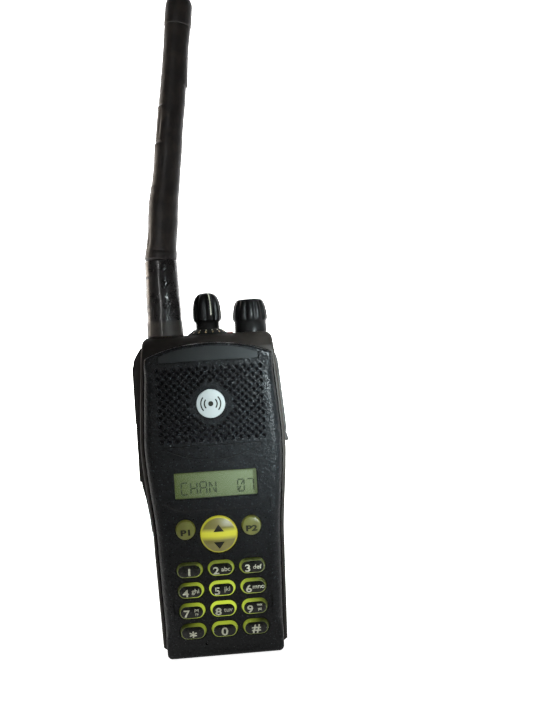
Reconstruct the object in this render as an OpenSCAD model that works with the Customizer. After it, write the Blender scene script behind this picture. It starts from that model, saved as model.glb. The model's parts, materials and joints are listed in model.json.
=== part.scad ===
// Hand-held two-way radio with a keypad, standing on its base.
// X points right as seen from the front, Y from the front to the back, Z up.
// The origin is on the flat base, below the middle of the housing.

/* [Body] */
// Height of the housing from its base to its top deck
body_h = 120; // [119:0.5:121]
// Half of the housing's width at the base
base_half_w = 23.2; // [23:0.1:23.6]
// Half of the housing's width at the waist, above the keypad
waist_half_w = 24.4; // [24.2:0.1:24.8]
// Half of the housing's width at its widest, beside the display
shoulder_half_w = 27.1; // [26.9:0.1:27.3]
// Half of the housing's width at the top deck
top_half_w = 24.3; // [24.1:0.1:24.6]
// Height of the waist above the base
waist_z = 40; // [38:1:42]
// Height of the widest place above the base
shoulder_z = 80; // [79:0.5:81]
// Wall thickness of the housing
wall = 1.8; // [1.6:0.1:2]

/* [Front cover] */
// Width of the housing's rim that shows round the front cover
rim_w = 1.55; // [1.4:0.05:1.7]
// Height of the top of the cover's arch above the base
arch_top_z = 116.9; // [116.5:0.1:117.2]
// Radius of the cover's arch
arch_r = 55; // [54:1:57]
// Thickness of the cover's front plate
plate_t = 1.8; // [1.7:0.05:1.9]

/* [Speaker grille] */
// Half of the hole spacing, across and up
grille_step = 1.45; // [1.4:0.01:1.48]
// Radius of one sound hole
grille_hole_r = 0.76; // [0.6:0.02:0.8]
// Height of the round emblem's middle above the base
emblem_z = 94.4; // [94:0.1:95]
// Radius of the round emblem
emblem_r = 5.3; // [5:0.1:5.6]

/* [Keypad] */
// Width of one key
key_w = 9.5; // [9:0.1:9.6]
// Height of one key
key_h = 5.4; // [5.2:0.1:5.8]
// Spacing of the key columns
key_pitch_x = 11.65; // [11.5:0.05:11.8]
// Spacing of the key rows
key_pitch_z = 7.6; // [7.5:0.05:7.7]
// Height of the top key row above the base
key_top_z = 33.3; // [33.1:0.1:33.5]
// Travel of a pressed key
key_travel = 0.6; // [0.4:0.1:0.6]
// Radius of the round rocker
rocker_r = 6.65; // [6.5:0.05:6.8]
// Radius of a round programmable button
round_button_r = 3.5; // [3.4:0.05:3.7]

/* [Controls on the deck] */
// Place of the antenna's axis across the deck
antenna_x = -16.2; // [-16.4:0.1:-16]
// Place of the channel knob's axis across the deck
channel_x = 0.3; // [0:0.1:0.5]
// Place of the volume knob's axis across the deck
volume_x = 17; // [16.8:0.1:17.2]
// Distance of the three axes behind the origin
deck_axis_y = -1.5; // [-2:0.1:-1]
// Length of the antenna above the deck
antenna_len = 130; // [120:1:135]

/* [Battery] */
// Height of the battery pack
battery_h = 91; // [90:0.5:91]
// Place of the battery pack's back face
battery_back_y = 17.5; // [17:0.1:18]

/* [Hidden] */
$fn = 48;
eps = 0.01;

// Planes across the body, front to back
front_y = -18.5;             // front of the cover
plate_back_y = front_y + plate_t;
rim_y = -15.2;               // front of the housing's rim
parting_y = -14;             // where the cover sits on the housing
back_y = 1;                  // back of the housing, behind the boards
battery_front_y = 1.3;
deck_back_y = 16.8;            // back of the deck block above the battery
deck_block_z = 91.6;         // underside of the deck block
deck_t = 2;

// Colours
cover_black = [0.10, 0.11, 0.12];
housing_black = [0.09, 0.08, 0.08];
key_green = [0.74, 0.80, 0.25];
steel = [0.72, 0.73, 0.75];
brass = [0.78, 0.62, 0.30];

// ---------- helpers ----------
function mix(a, b, t) = a + (b - a) * t;
function smooth(t) = t * t * (3 - 2 * t);

// Half of the housing's width at height z
function half_w(z) =
    z < waist_z ? mix(base_half_w, waist_half_w, max(0, z) / waist_z)
    : z < shoulder_z ? mix(waist_half_w, shoulder_half_w, smooth((z - waist_z) / (shoulder_z - waist_z)))
    : mix(shoulder_half_w, top_half_w, pow(min(1, (z - shoulder_z) / (body_h - shoulder_z)), 1.2));

// How far a round corner of radius r takes the side in, at height h above the corner's lowest point
function corner_in(h, r) = h >= r ? 0 : r - sqrt(max(0, r * r - (r - h) * (r - h)));

// Heights for an outline: close together in the round corner, then even steps
function levels(z0, z1, r, n) = concat(
    [for (a = [0:22.5:67.5]) z0 + r * (1 - cos(a))],
    [for (i = [0:n]) mix(z0 + r, z1, i / n)]);

// The housing's front outline, taken in by d, with round bottom corners
function outline(d, z0, z1, r, n = 16) = let (
    zs = levels(z0, z1, r, n),
    right = [for (z = zs) [half_w(z) - d - corner_in(z - z0, r), z]],
    last = len(right) - 1)
    concat(right, [for (i = [0:last]) [-right[last - i][0], right[last - i][1]]]);

function arch_z(x, drop = 0) = arch_top_z - drop - (arch_r - sqrt(arch_r * arch_r - x * x));

// The front cover's outline, taken in by d: sides that follow the housing and an arched top
function cover_outline(d) = let (
    in = rim_w + d,
    corner_x = half_w(111.6) - in,
    corner_z = arch_z(corner_x, d),
    zs = levels(0.4 + d, corner_z, 1.8, 14),
    right = [for (z = zs) [half_w(z) - in - corner_in(z - 0.4 - d, 1.8), z]],
    last = len(right) - 1,
    top = [for (i = [1:15]) let (x = corner_x * (1 - i / 8)) [x, arch_z(x, d)]])
    concat(right, top, [for (i = [0:last]) [-right[last - i][0], right[last - i][1]]]);

// Extrudes an X-Z drawing along Y
module along_y(y0, y1) {
    translate([0, y1, 0]) rotate([90, 0, 0]) linear_extrude(y1 - y0) children();
}

// Extrudes a Y-Z drawing along X
module along_x(x0, x1) {
    translate([x0, 0, 0]) rotate([90, 0, 90]) linear_extrude(x1 - x0) children();
}

// Box from its low corner to its high corner
module block(low, high) {
    translate(low) cube(high - low);
}

module upright(x, y, z0, z1, r) {
    translate([x, y, z0]) cylinder(r = r, h = z1 - z0);
}

// Rounded rectangle, with true arcs
module round_rect(w, h, r) {
    square([w - 2 * r, h], center = true);
    square([w, h - 2 * r], center = true);
    for (x = [-1, 1], z = [-1, 1]) translate([x * (w / 2 - r), z * (h / 2 - r)]) circle(r = r);
}

// Key shape: straight top and bottom with half-round ends
module stadium(w, h) {
    square([w - h, h], center = true);
    for (x = [-1, 1]) translate([x * (w - h) / 2, 0]) circle(r = h / 2);
}

// Closed skin over rings of points that all have the same count
module skin(rings) {
    n = len(rings[0]);
    m = len(rings);
    points = [for (ring = rings) each ring];
    sides = [for (j = [0:m - 2], i = [0:n - 1]) let (a = j * n + i, b = j * n + (i + 1) % n)
        each [[a, a + n, b], [b, a + n, b + n]]];
    bottom = [[for (i = [0:n - 1]) i]];
    top = [[for (i = [0:n - 1]) m * n - 1 - i]];
    polyhedron(points, concat(sides, bottom, top));
}

// Ring of a rounded rectangle at height z, from y0 to y1, with front radius rf and back radius rb
function section(w, y0, y1, rf, rb, z) = concat(
    [for (a = [0:30:90]) [w - rf + rf * sin(a), y0 + rf - rf * cos(a), z]],
    [for (a = [0:30:90]) [w - rb + rb * cos(a), y1 - rb + rb * sin(a), z]],
    [for (a = [0:30:90]) [-w + rb - rb * sin(a), y1 - rb + rb * cos(a), z]],
    [for (a = [0:30:90]) [-w + rf - rf * cos(a), y0 + rf - rf * sin(a), z]]);

// ---------- places of the keys ----------
function key_names() = ["1", "2", "3", "4", "5", "6", "7", "8", "9", "star", "0", "hash"];
function key_place(i) = [(i % 3 - 1) * key_pitch_x, key_top_z - floor(i / 3) * key_pitch_z];
key_front_y = -20.05;
key_flange_y = -16.4;
dome_h = 0.25;               // height of a snap dome

round_button_x = 12.2;
round_button_z = 48.4;
rocker_z = 45.85;
rocker_front_y = -20.3;
rocker_dome_r = 15.5;
rocker_pivot_y = -15.4;
board_y = -12.9;             // front of the keypad board
key_stem_end_y = board_y - dome_h - 0.1 - key_travel;
display_half_w = 15;
display_z = [59.9, 69.2];

// ---------- casings ----------
module cover_holes() {
    for (i = [0:11]) translate(key_place(i)) stadium(key_w + 0.4, key_h + 0.4);
    for (s = [-1, 1]) translate([s * round_button_x, round_button_z]) circle(r = round_button_r + 0.2);
    translate([0, rocker_z]) circle(r = rocker_r + 0.3);
    translate([0, (display_z[0] + display_z[1]) / 2])
        round_rect(2 * display_half_w + 0.4, display_z[1] - display_z[0] + 0.4, 0.5);
    translate([-7, 5.4]) circle(r = 0.4);
}

// Diagonal rows of sound holes, left out round the emblem
module grille_holes() {
    for (m = [-13:13], n = [-9:9])
        if ((m + n) % 2 == 0 && norm([m, n]) * grille_step > emblem_r + 2.2)
            translate([m * grille_step, emblem_z + n * grille_step]) circle(r = grille_hole_r, $fn = 24);
}

module nameplate_shape(gap) {
    half = 18.6 - gap;
    polygon(concat([[-half, 110 + gap], [half, 110 + gap]],
        [for (i = [0:12]) let (x = half * (1 - i / 6)) [x, arch_z(x, 0.8 + gap)]]));
}

// Smile-shaped field under the grille, 0.3 mm deep
module lower_field() {
    polygon(concat([[-17.7, 79.2]],
        [for (i = [0:12]) let (x = -17.7 + 35.4 * i / 12) [x, 73.6 + 36.3 - sqrt(36.3 * 36.3 - x * x)]],
        [[17.7, 79.2]]));
}

// Posts behind the plate that carry the keypad board, and two cradles for the rocker's axle
module cover_posts() {
    for (s = [-1, 1], z = [9, 54])
        translate([s * 19.05, board_y, z]) rotate([90, 0, 0])
            cylinder(r = 0.85, h = board_y - plate_back_y + eps);
    for (s = [-1, 1]) difference() {
        block([s * 8.05 - 0.3, plate_back_y - eps, rocker_z - 1.3], [s * 8.05 + 0.3, -14.7, rocker_z + 0.6]);
        translate([-10, rocker_pivot_y, rocker_z]) rotate([0, 90, 0]) cylinder(r = 0.5, h = 20);
    }
}

module front_cover() {
    color(cover_black) difference() {
        union() {
            difference() {
                along_y(front_y, parting_y) polygon(cover_outline(0));
                along_y(plate_back_y, parting_y + eps) polygon(cover_outline(1.6));
            }
            cover_posts();
        }
        along_y(front_y - eps, parting_y) cover_holes();
        along_y(front_y - eps, parting_y) grille_holes();
        along_y(front_y - eps, front_y + 0.5) nameplate_shape(0);
        along_y(front_y - eps, front_y + 0.3) lower_field();
        translate([0, front_y + 0.6, emblem_z]) rotate([90, 0, 0]) cylinder(r = emblem_r + 0.05, h = 1);
    }
}

deck_front = [[112.5, 0], [115, 0.9], [117.5, 3], [119, 4.9], [119.7, 6.2]];

// Front of the housing at height z: the rim, then a slope up to the deck
function housing_front_y(z) = rim_y + lookup(z, [for (p = deck_front) p]);

module housing_body() {
    heights = [0, 0.7, 2.5, 20, 40, 50, 60, 70, 80, 90, 100, 110, 112.5, 115, 117.5, 119, 119.7, body_h];
    low = [for (h = heights)
        let (in = corner_in(h, 2.5) + (h == body_h ? 0.5 : 0))
        section(half_w(h) - in, housing_front_y(h) + (h < 0.7 ? 0.3 : 0) + (h == body_h ? 0.4 : 0),
            back_y, 1.2, 2, h)];
    high = [for (h = [deck_block_z, 100, 110, 117, 118.5, 119.6, body_h])
        let (in = h > 118 ? pow((h - 118) / 2, 2) * 1.5 : 0)
        section(half_w(h) - 0.8 - in, -6, deck_back_y - in * 1.2, 1, 5, h)];
    skin(low);
    skin(high);
}

// Openings through the left wall for the three side buttons: [low z, high z, half depth]
side_windows = [[87.6, 109.4, 4.1], [76.6, 85.4, 3.7], [65.6, 74.4, 3.7]];
side_axis_y = -6.2;
jack_window = [[-9.4, 84], [-0.8, 108.4]];
jack_zs = [90.5, 102];       // the 2.5 mm socket, then the 3.5 mm socket
jack_y = -5.1;
jack_pivot = [28.0, 78.3];
contact_xs = [-9, 0, 9];
contact_z = 13;
latch_tongue_x = 13;
screw_places = [[-15, -4], [15, -4]];

module housing_cavity() {
    // the cover's recess, and a ledge behind it that the cover's edge sits on
    along_y(rim_y - 1, parting_y) polygon(cover_outline(-0.1));
    along_y(parting_y - eps, -11.5) polygon(cover_outline(0.9));
    along_y(-11.6, -9.7) polygon(outline(wall, 2, 115, 1.2));
    along_y(-9.8, back_y - 1.6) polygon(outline(wall, 2, body_h - deck_t, 1.2));
    block([-22, back_y - 2, deck_block_z + 2], [22, deck_back_y - 1.8, body_h - deck_t]);
}

// Bosses for the base screws, posts for the main board, and ears for the jack cover's hinge
module housing_posts() {
    for (p = screw_places) upright(p[0], p[1], 1, 8.5, 2.4);
    for (x = [-17.6, 17.6], z = [9.2, 80])
        translate([x, back_y - 1, z]) rotate([90, 0, 0]) cylinder(r = 1.6, h = back_y - 1 + 7.6);
    for (y = [-9.6, -2.4]) along_y(y, y + 1) difference() {
        polygon([[26.4, 76.4], [28, 77], [28.9, 77.8], [28.9, 78.8], [28, 79.3], [26.4, 79.3]]);
        translate(jack_pivot) circle(r = 0.45);
    }
}

module main_housing() {
    color(housing_black) difference() {
        union() {
            difference() {
                housing_body();
                housing_cavity();
            }
            housing_posts();
        }
        upright(antenna_x, deck_axis_y, body_h - 5, body_h + 5, 4.6);
        upright(channel_x, deck_axis_y, body_h - 5, body_h + 5, 4.2);
        upright(volume_x, deck_axis_y, body_h - 5, body_h + 5, 4.2);
        upright(8.8, -6.2, body_h - 5, body_h + 5, 1.3);
        for (w = side_windows)
            block([-30, side_axis_y - w[2] - 0.3, w[0] - 0.3], [-20, side_axis_y + w[2] + 0.3, w[1] + 0.3]);
        block([20, jack_window[0][0], jack_window[0][1]], [30, jack_window[1][0], jack_window[1][1]]);
        for (x = contact_xs) block([x - 2.2, -3, contact_z - 2.2], [x + 2.2, 3, contact_z + 2.2]);
        for (s = [-1, 1])
            block([s * latch_tongue_x - 3.3, 5.4, deck_block_z - 1],
                [s * latch_tongue_x + 3.3, deck_back_y + 1, 94.2]);
        for (p = screw_places) {
            upright(p[0], p[1], -1, 8, 1.3);
            upright(p[0], p[1], -1, 1.1, 2.6);
        }
    }
}

module nameplate() {
    color([0.16, 0.17, 0.18]) along_y(front_y + 0.1, front_y + 0.5) nameplate_shape(0.08);
}

module round_emblem() {
    color([0.85, 0.87, 0.87]) translate([0, front_y + 0.6, emblem_z]) rotate([90, 0, 0]) {
        cylinder(r = emblem_r, h = 0.75);
        translate([0, 0, 0.75]) cylinder(r1 = emblem_r, r2 = emblem_r - 0.35, h = 0.25);
    }
}

// ---------- display and keypad ----------
module display_window() {
    color([0.8, 0.85, 0.8, 0.4]) {
        along_y(plate_back_y, plate_back_y + 1) translate([0, 64.55]) round_rect(35, 13.4, 1);
        along_y(front_y + 0.9, plate_back_y + eps) translate([0, 64.55])
            round_rect(2 * display_half_w + 0.1, display_z[1] - display_z[0] + 0.1, 0.4);
    }
}

module display_panel() {
    color([0.55, 0.65, 0.35]) block([-17.2, plate_back_y + 1, 58], [17.2, board_y, 71.4]);
}

module keypad_mat() {
    color([0.2, 0.2, 0.2]) difference() {
        along_y(-15.1, board_y) translate([0, 30]) round_rect(36, 51, 2);
        along_y(-16, -12) {
            for (i = [0:11]) translate(key_place(i)) circle(r = 2.1);
            for (s = [-1, 1]) translate([s * round_button_x, round_button_z]) circle(r = 2.1);
            translate([0, rocker_z]) circle(r = rocker_r + 2.2);
            translate([-7, 5.4]) circle(r = 2.4);
        }
    }
}

// Where the switches are: one behind each key and button, and two behind the rocker
function switch_places() = concat(
    [for (i = [0:11]) key_place(i)],
    [for (s = [-1, 1]) [s * round_button_x, round_button_z]],
    [for (s = [-1, 1]) [0, rocker_z + s * 4.2]]);

module snap_domes() {
    color(steel) {
        for (p = switch_places()) translate([p[0], board_y, p[1]]) rotate([90, 0, 0])
            cylinder(r1 = 2, r2 = 1.2, h = dome_h);
        for (w = side_windows) translate([-20.6, side_axis_y, (w[0] + w[1]) / 2]) rotate([0, -90, 0])
            cylinder(r1 = 2, r2 = 1.2, h = dome_h);
    }
}

module keypad_board() {
    color([0.1, 0.35, 0.2]) along_y(board_y, board_y + 1) translate([0, 38]) round_rect(40, 68, 2);
}

// Plastic cap, a flange that keeps it behind the cover, and a stem that reaches its switch
module key(i) {
    color(key_green) {
        along_y(key_front_y, key_flange_y + eps) translate(key_place(i)) stadium(key_w, key_h);
        along_y(key_flange_y, key_flange_y + 0.6) translate(key_place(i)) stadium(key_w + 1.2, key_h + 1.2);
        place = key_place(i);
        translate([place[0], key_stem_end_y, place[1]]) rotate([90, 0, 0])
            cylinder(r = 1.6, h = key_stem_end_y - key_flange_y);
    }
}

module round_button(side) {
    color(key_green) translate([side * round_button_x, key_stem_end_y, round_button_z]) rotate([90, 0, 0])
        let (f = key_stem_end_y - key_flange_y) rotate_extrude() polygon([[0, 0], [1.6, 0],
            [1.6, f - 0.6], [round_button_r + 0.35, f - 0.6], [round_button_r + 0.35, f],
            [round_button_r, f], [round_button_r, f + 2.65], [round_button_r - 0.5, f + 3.15],
            [round_button_r - 1.6, f + 3.45], [0, f + 3.55]]);
}

// Round domed two-way rocker: a trough runs across its middle, and it rocks on a short axle
module nav_rocker() {
    color(key_green) difference() {
        union() {
            intersection() {
                translate([0, -16, rocker_z]) rotate([90, 0, 0]) cylinder(r = rocker_r, h = 4.6);
                translate([0, rocker_front_y + rocker_dome_r, rocker_z]) sphere(r = rocker_dome_r);
            }
            translate([0, -15.7, rocker_z]) rotate([90, 0, 0]) cylinder(r = rocker_r + 0.6, h = 0.35);
            block([-7.2, -15.9, rocker_z - 0.8], [7.2, -14.9, rocker_z + 0.8]);
            translate([-8.3, rocker_pivot_y, rocker_z]) rotate([0, 90, 0]) cylinder(r = 0.45, h = 16.6);
            for (s = [-1, 1]) translate([0, -13.5, rocker_z + s * 4.2]) rotate([90, 0, 0])
                cylinder(r = 1.2, h = 2.9);
        }
        translate([-10, -30.75, rocker_z]) rotate([0, 90, 0]) cylinder(r = 11, h = 20, $fn = 96);
    }
}

// ---------- side controls ----------
side_outer_x = -28.35;

// One side button: a pad that fills its opening, a stop plate inside the wall, and a nib that
// reaches its switch after the given travel
module side_button(w, outer_x, travel) {
    color([0.12, 0.12, 0.12]) {
        translate([outer_x, side_axis_y, (w[0] + w[1]) / 2]) rotate([90, 0, 90])
            linear_extrude(-22.4 - outer_x) round_rect(2 * w[2], w[1] - w[0], 1.5);
        block([-22.9, side_axis_y - w[2] - 0.9, w[0] - 0.9], [-22.1, side_axis_y + w[2] + 0.9, w[1] + 0.9]);
        translate([-22.2, side_axis_y, (w[0] + w[1]) / 2]) rotate([0, 90, 0])
            cylinder(r = 1.2, h = 22.2 - 20.95 - travel);
    }
}

module side_button_frame() {
    outer = [[-25.1, 47], [-25.45, 51.6], [-26.1, 56.9], [-26.7, 60.5], [-27.4, 63.5], [-28, 68],
        [side_outer_x, 75], [side_outer_x, 107.5], [-28.2, 109.6], [-27.8, 111.6], [-27, 113.2],
        [-26.2, 114.4], [-25.4, 115.6], [-24.95, 116.2]];
    inner = [for (i = [0:20]) let (z = mix(116.2, 47, i / 20)) [-half_w(z) - 0.06, z]];
    color(housing_black) difference() {
        along_y(-12, -0.4) polygon(concat(outer, inner));
        for (w = side_windows)
            translate([-40, side_axis_y, (w[0] + w[1]) / 2]) rotate([90, 0, 90])
                linear_extrude(20) round_rect(2 * w[2] + 0.5, w[1] - w[0] + 0.5, 1.6);
    }
}

// Two plug sockets in one block on the main board, behind the jack cover
jack_mouth_x = 24.9;
jack_depths = [11, 14.5];

module jack_socket() {
    color([0.2, 0.2, 0.2]) difference() {
        block([9.5, -7.6, 86.5], [jack_mouth_x, jack_y + 2.5, 106.5]);
        translate([jack_mouth_x - jack_depths[1], jack_y, jack_zs[1]]) rotate([0, 90, 0])
            cylinder(r = 1.8, h = 20);
        translate([jack_mouth_x - jack_depths[0], jack_y, jack_zs[0]]) rotate([0, 90, 0])
            cylinder(r = 1.3, h = 20);
    }
}

jack_cover_z = [80.2, 111.5];

// Rubber cover over the sockets: a lid on the flank, a plug in the opening and a hinge roll below
module jack_cover() {
    color([0.1, 0.1, 0.1]) {
        along_y(-11.2, -0.4) polygon(concat(
            [for (i = [0:10]) let (z = mix(jack_cover_z[0], jack_cover_z[1], i / 10)) [half_w(z) + 0.15, z]],
            [for (i = [0:10]) let (z = mix(jack_cover_z[1], jack_cover_z[0], i / 10))
                [half_w(z) + (i == 0 || i == 10 ? 0.5 : 1), z]]));
        along_y(jack_y - 3.7, jack_y + 3.7) polygon([[25.2, 84.8], [25.05, 107.6],
            [half_w(107.6) + 0.2, 107.6], [half_w(97) + 0.2, 97], [half_w(84.8) + 0.2, 84.8]]);
        along_y(-8.3, -2.7) {
            translate(jack_pivot) circle(r = 0.75);
            polygon([[27.4, 77.9], [28, 77.6], [28.45, 78], [28.55, 79], [28.2, 80.4], [27.3, 80.4]]);
        }
        along_y(-9.3, -1.7) translate(jack_pivot) circle(r = 0.4);
    }
}

// ---------- deck controls ----------
module knob_scallops(x, count, z0, z1, ring_r, cut_r) {
    for (i = [0:count - 1]) translate([x, deck_axis_y, 0]) rotate([0, 0, (i + 0.5) * 360 / count])
        translate([ring_r, 0, z0]) cylinder(r = cut_r, h = z1 - z0);
}

module channel_knob() {
    color([0.13, 0.13, 0.13]) difference() {
        translate([channel_x, deck_axis_y, 0]) rotate_extrude() polygon([
            [0, 120.2], [4.6, 120.2], [4.6, 124.8], [5.25, 125.4], [5.6, 127], [5.6, 129.5],
            [5.3, 132], [4.5, 134.4], [3.1, 135.8], [1.4, 136.3], [0, 136.3]]);
        upright(channel_x, deck_axis_y, 120, 131, 3);
        knob_scallops(channel_x, 9, 125.4, 137, 6.6, 1.3);
    }
}

module volume_knob() {
    color([0.13, 0.13, 0.13]) difference() {
        translate([volume_x, deck_axis_y, 0]) rotate_extrude() polygon([
            [0, 120.2], [6.3, 120.2], [6.3, 124.4], [6.75, 125], [6.75, 126.5], [6.45, 129],
            [5.7, 131.6], [5, 132.6], [0, 132.8]]);
        upright(volume_x, deck_axis_y, 120, 130, 3);
        knob_scallops(volume_x, 12, 124.8, 134, 7.65, 1.25);
    }
}

module shaft(x, z1) {
    color(steel) upright(x, deck_axis_y, 112, z1, 3);
}

// Rotary switch or potentiometer: a box under the deck with a bushing that the shaft turns in
module rotary_body(x) {
    color([0.5, 0.5, 0.52]) difference() {
        union() {
            block([x - 4.4, deck_axis_y - 4.4, 108.5], [x + 4.4, deck_axis_y + 4.4, body_h - deck_t]);
            upright(x, deck_axis_y, 117, 120, 4.1);
        }
        upright(x, deck_axis_y, 111.9, 121, 3.05);
    }
}

module channel_dial() {
    color([0.12, 0.12, 0.12]) translate([channel_x, deck_axis_y, 120]) difference() {
        cylinder(r1 = 7.7, r2 = 5.2, h = 1.6);
        translate([0, 0, -1]) cylinder(r = 4.9, h = 4);
    }
}

module status_light() {
    color([0.8, 0.3, 0.2]) upright(8.8, -6.2, 117.6, 120.5, 1.25);
}

// ---------- antenna ----------
// Centre line of the bent whip: [offset to the right, height above the deck]
whip_path = [[0.1, 30], [0.8, 35], [1.7, 42], [2.4, 50], [4, 59], [5.25, 68], [6.7, 79],
    [8.3, 90], [9.8, 101], [11.1, 111], [12.2, 119]];
whip_lean = 7.5;             // lean of the tip, in degrees

function ring_at(p, r, tilt) = [for (a = [0:15:345])
    [antenna_x + p[0] + r * cos(a) * cos(tilt), deck_axis_y + r * sin(a),
        body_h + p[1] - r * cos(a) * sin(tilt)]];

function path_tilt(i) = i == 0 ? 0
    : i == len(whip_path) - 1 ? whip_lean
    : atan2(whip_path[i + 1][0] - whip_path[i - 1][0], whip_path[i + 1][1] - whip_path[i - 1][1]);

module whip_tube(r0, r1) {
    last = len(whip_path) - 1;
    skin([for (i = [0:last]) ring_at(whip_path[i], mix(r0, r1, i / last), path_tilt(i))]);
}

module antenna_base_sleeve() {
    color([0.1, 0.1, 0.1]) translate([antenna_x, deck_axis_y, body_h]) difference() {
        rotate_extrude() polygon([[0, 0.3], [7.1, 0.3], [7, 3], [6.85, 6], [6.65, 16], [6.3, 26],
            [6.2, 30], [0, 30]]);
        cylinder(r = 2.5, h = 31);
        cylinder(r = 4.4, h = 1.2);
        // Recess for the seal ring
        cylinder(r = 6.1, h = 0.6);
    }
}

module antenna_whip() {
    color([0.09, 0.08, 0.08]) difference() {
        whip_tube(6, 5);
        whip_tube(2.5, 2.5);
    }
}

module antenna_element() {
    color(steel) whip_tube(2.45, 2.45);
}

module antenna_tip_cap() {
    tip = whip_path[len(whip_path) - 1];
    color([0.08, 0.08, 0.08]) translate([antenna_x + tip[0], deck_axis_y, body_h + tip[1]])
        rotate([0, whip_lean, 0]) rotate_extrude() polygon([[0, 0.02], [5.3, 0.02], [5.35, 7.5],
            [4.85, 9.4], [3.4, 10.6], [1.2, antenna_len - 119.1], [0, antenna_len - 119.1]]);
}

module antenna_stud() {
    color(brass) {
        upright(antenna_x, deck_axis_y, 113, body_h + 0.7, 2.8);
        upright(antenna_x, deck_axis_y, body_h + 0.65, body_h + 1.2, 4.3);
        upright(antenna_x, deck_axis_y, body_h + 1.1, body_h + 29.9, 2.45);
    }
}

module antenna_seal() {
    color([0.05, 0.05, 0.05]) translate([antenna_x, deck_axis_y, body_h + 0.05]) difference() {
        cylinder(r = 6, h = 0.5);
        translate([0, 0, -1]) cylinder(r = 4.8, h = 3);
    }
}

module antenna_socket() {
    color(brass) difference() {
        upright(antenna_x, deck_axis_y, 111, body_h + 0.1, 4.55);
        upright(antenna_x, deck_axis_y, 112, body_h + 1, 2.85);
    }
}

// ---------- electronics ----------
// The main board, with a tab along its left edge that carries the side buttons' switches
module main_board() {
    color([0.1, 0.35, 0.2]) {
        along_y(-8.8, -7.6) translate([0, 56]) round_rect(40, 100, 2);
        block([-20.6, -8.8, 64], [-19.9, -3.6, 102]);
    }
}

module shield_cans() {
    color(steel) {
        block([-17, -7.6, 12], [17, -4.4, 40]);
        block([-17, -7.6, 44], [2, -4.4, 76]);
        block([5, -7.6, 44], [17, -4.4, 60]);
    }
}

module speaker() {
    color([0.25, 0.25, 0.26]) translate([0, -8.8, emblem_z]) rotate([90, 0, 0]) difference() {
        rotate_extrude() polygon([[0, 0], [8.5, 0], [8.5, 3], [13, 3.8], [17.6, 6], [17.6, 7.4], [0, 7.4]]);
        translate([0, 0, 4.6]) cylinder(r1 = 6, r2 = 15.5, h = 3);
    }
}

module speaker_felt() {
    color([0.08, 0.08, 0.08]) along_y(plate_back_y, plate_back_y + 0.5) translate([0, emblem_z])
        round_rect(40, 29.5, 3);
}

module microphone() {
    color(steel) translate([-7, board_y, 5.4]) rotate([90, 0, 0]) cylinder(r = 2, h = 3.2);
}

module radio_contacts() {
    color(brass) for (x = contact_xs) {
        block([x - 1.9, -2.8, contact_z - 1.9], [x + 1.9, 0.6, contact_z + 1.9]);
        translate([x, 1.28, contact_z]) rotate([90, 0, 0]) cylinder(r = 0.8, h = 1);
    }
}

module housing_screws() {
    color(steel) for (p = screw_places) difference() {
        union() {
            upright(p[0], p[1], 0.4, 1.1, 2.4);
            upright(p[0], p[1], 1, 8, 1.2);
        }
        upright(p[0], p[1], 0, 0.9, 1.1, $fn = 6);
    }
}

// ---------- battery pack ----------
module battery_body() {
    skin([for (h = [0, 0.6, 2, 20, 40, 50, 60, 70, 80, 88, 90.3, battery_h])
        let (in = corner_in(h, 2) + corner_in(battery_h - h, 1))
        section(half_w(h) - 1.2 - in, battery_front_y, battery_back_y - in * 0.8, 1, 5, h)]);
}

latch_z = [82, 88];
latch_travel = 3;

module battery_case() {
    color([0.11, 0.11, 0.11]) difference() {
        battery_body();
        block([-20.6, battery_front_y + 1.5, 4], [20.6, battery_back_y - 1.6, 76]);
        block([-30, 5.8, latch_z[0] - latch_travel - 0.2], [30, 10.2, latch_z[1] + 0.2]);
        for (s = [-1, 1])
            block([s * latch_tongue_x - 3.2, 6.3, 87], [s * latch_tongue_x + 3.2, 9.7, battery_h + 1]);
        for (x = contact_xs) block([x - 2.5, 1, contact_z - 2.5], [x + 2.5, 1.75, contact_z + 2.5]);
    }
}

module battery_cells() {
    color([0.25, 0.45, 0.65]) for (s = [-1, 1])
        block([s * 10.2 - 9.9, battery_front_y + 1.5, 4], [s * 10.2 + 9.9, battery_back_y - 1.9, 75.5]);
}

module battery_contacts() {
    color(brass) for (x = contact_xs)
        block([x - 2.4, 1.34, contact_z - 2.4], [x + 2.4, 1.74, contact_z + 2.4]);
}

// One slide with a thumb grip on each side and two tongues that hold the pack under the deck
module battery_latch() {
    color([0.15, 0.15, 0.15]) {
        block([-25.4, 6, latch_z[0]], [25.4, 10, latch_z[1]]);
        for (s = [-1, 1]) {
            translate([s * 25.9, 8, (latch_z[0] + latch_z[1]) / 2])
                cube([1.9, 3.8, latch_z[1] - latch_z[0]], center = true);
            block([s * latch_tongue_x - 3, 6.5, latch_z[1] - 1], [s * latch_tongue_x + 3, 9.5, 93.4]);
        }
    }
}

// ---------- belt clip ----------
clip_pin = [22.4, 80];
clip_half_w = 10;

module belt_clip_bracket() {
    color([0.13, 0.13, 0.13]) difference() {
        union() {
            along_y(battery_back_y, battery_back_y + 1.7) translate([0, 77]) round_rect(24, 24, 2);
            for (s = [-1, 1]) along_x(s * 9.6 - 1.1, s * 9.6 + 1.1) {
                translate(clip_pin) circle(r = 2.5);
                polygon([[battery_back_y + 1, 73], [clip_pin[0], clip_pin[1] - 2.5],
                    [clip_pin[0], clip_pin[1] + 2.5], [battery_back_y + 1, 86]]);
            }
        }
        translate([-15, clip_pin[0], clip_pin[1]]) rotate([0, 90, 0]) cylinder(r = 1.2, h = 30);
    }
}

module belt_clip_pin() {
    color(steel) translate([-10.7, clip_pin[0], clip_pin[1]]) rotate([0, 90, 0]) cylinder(r = 1.2, h = 21.4);
}

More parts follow.
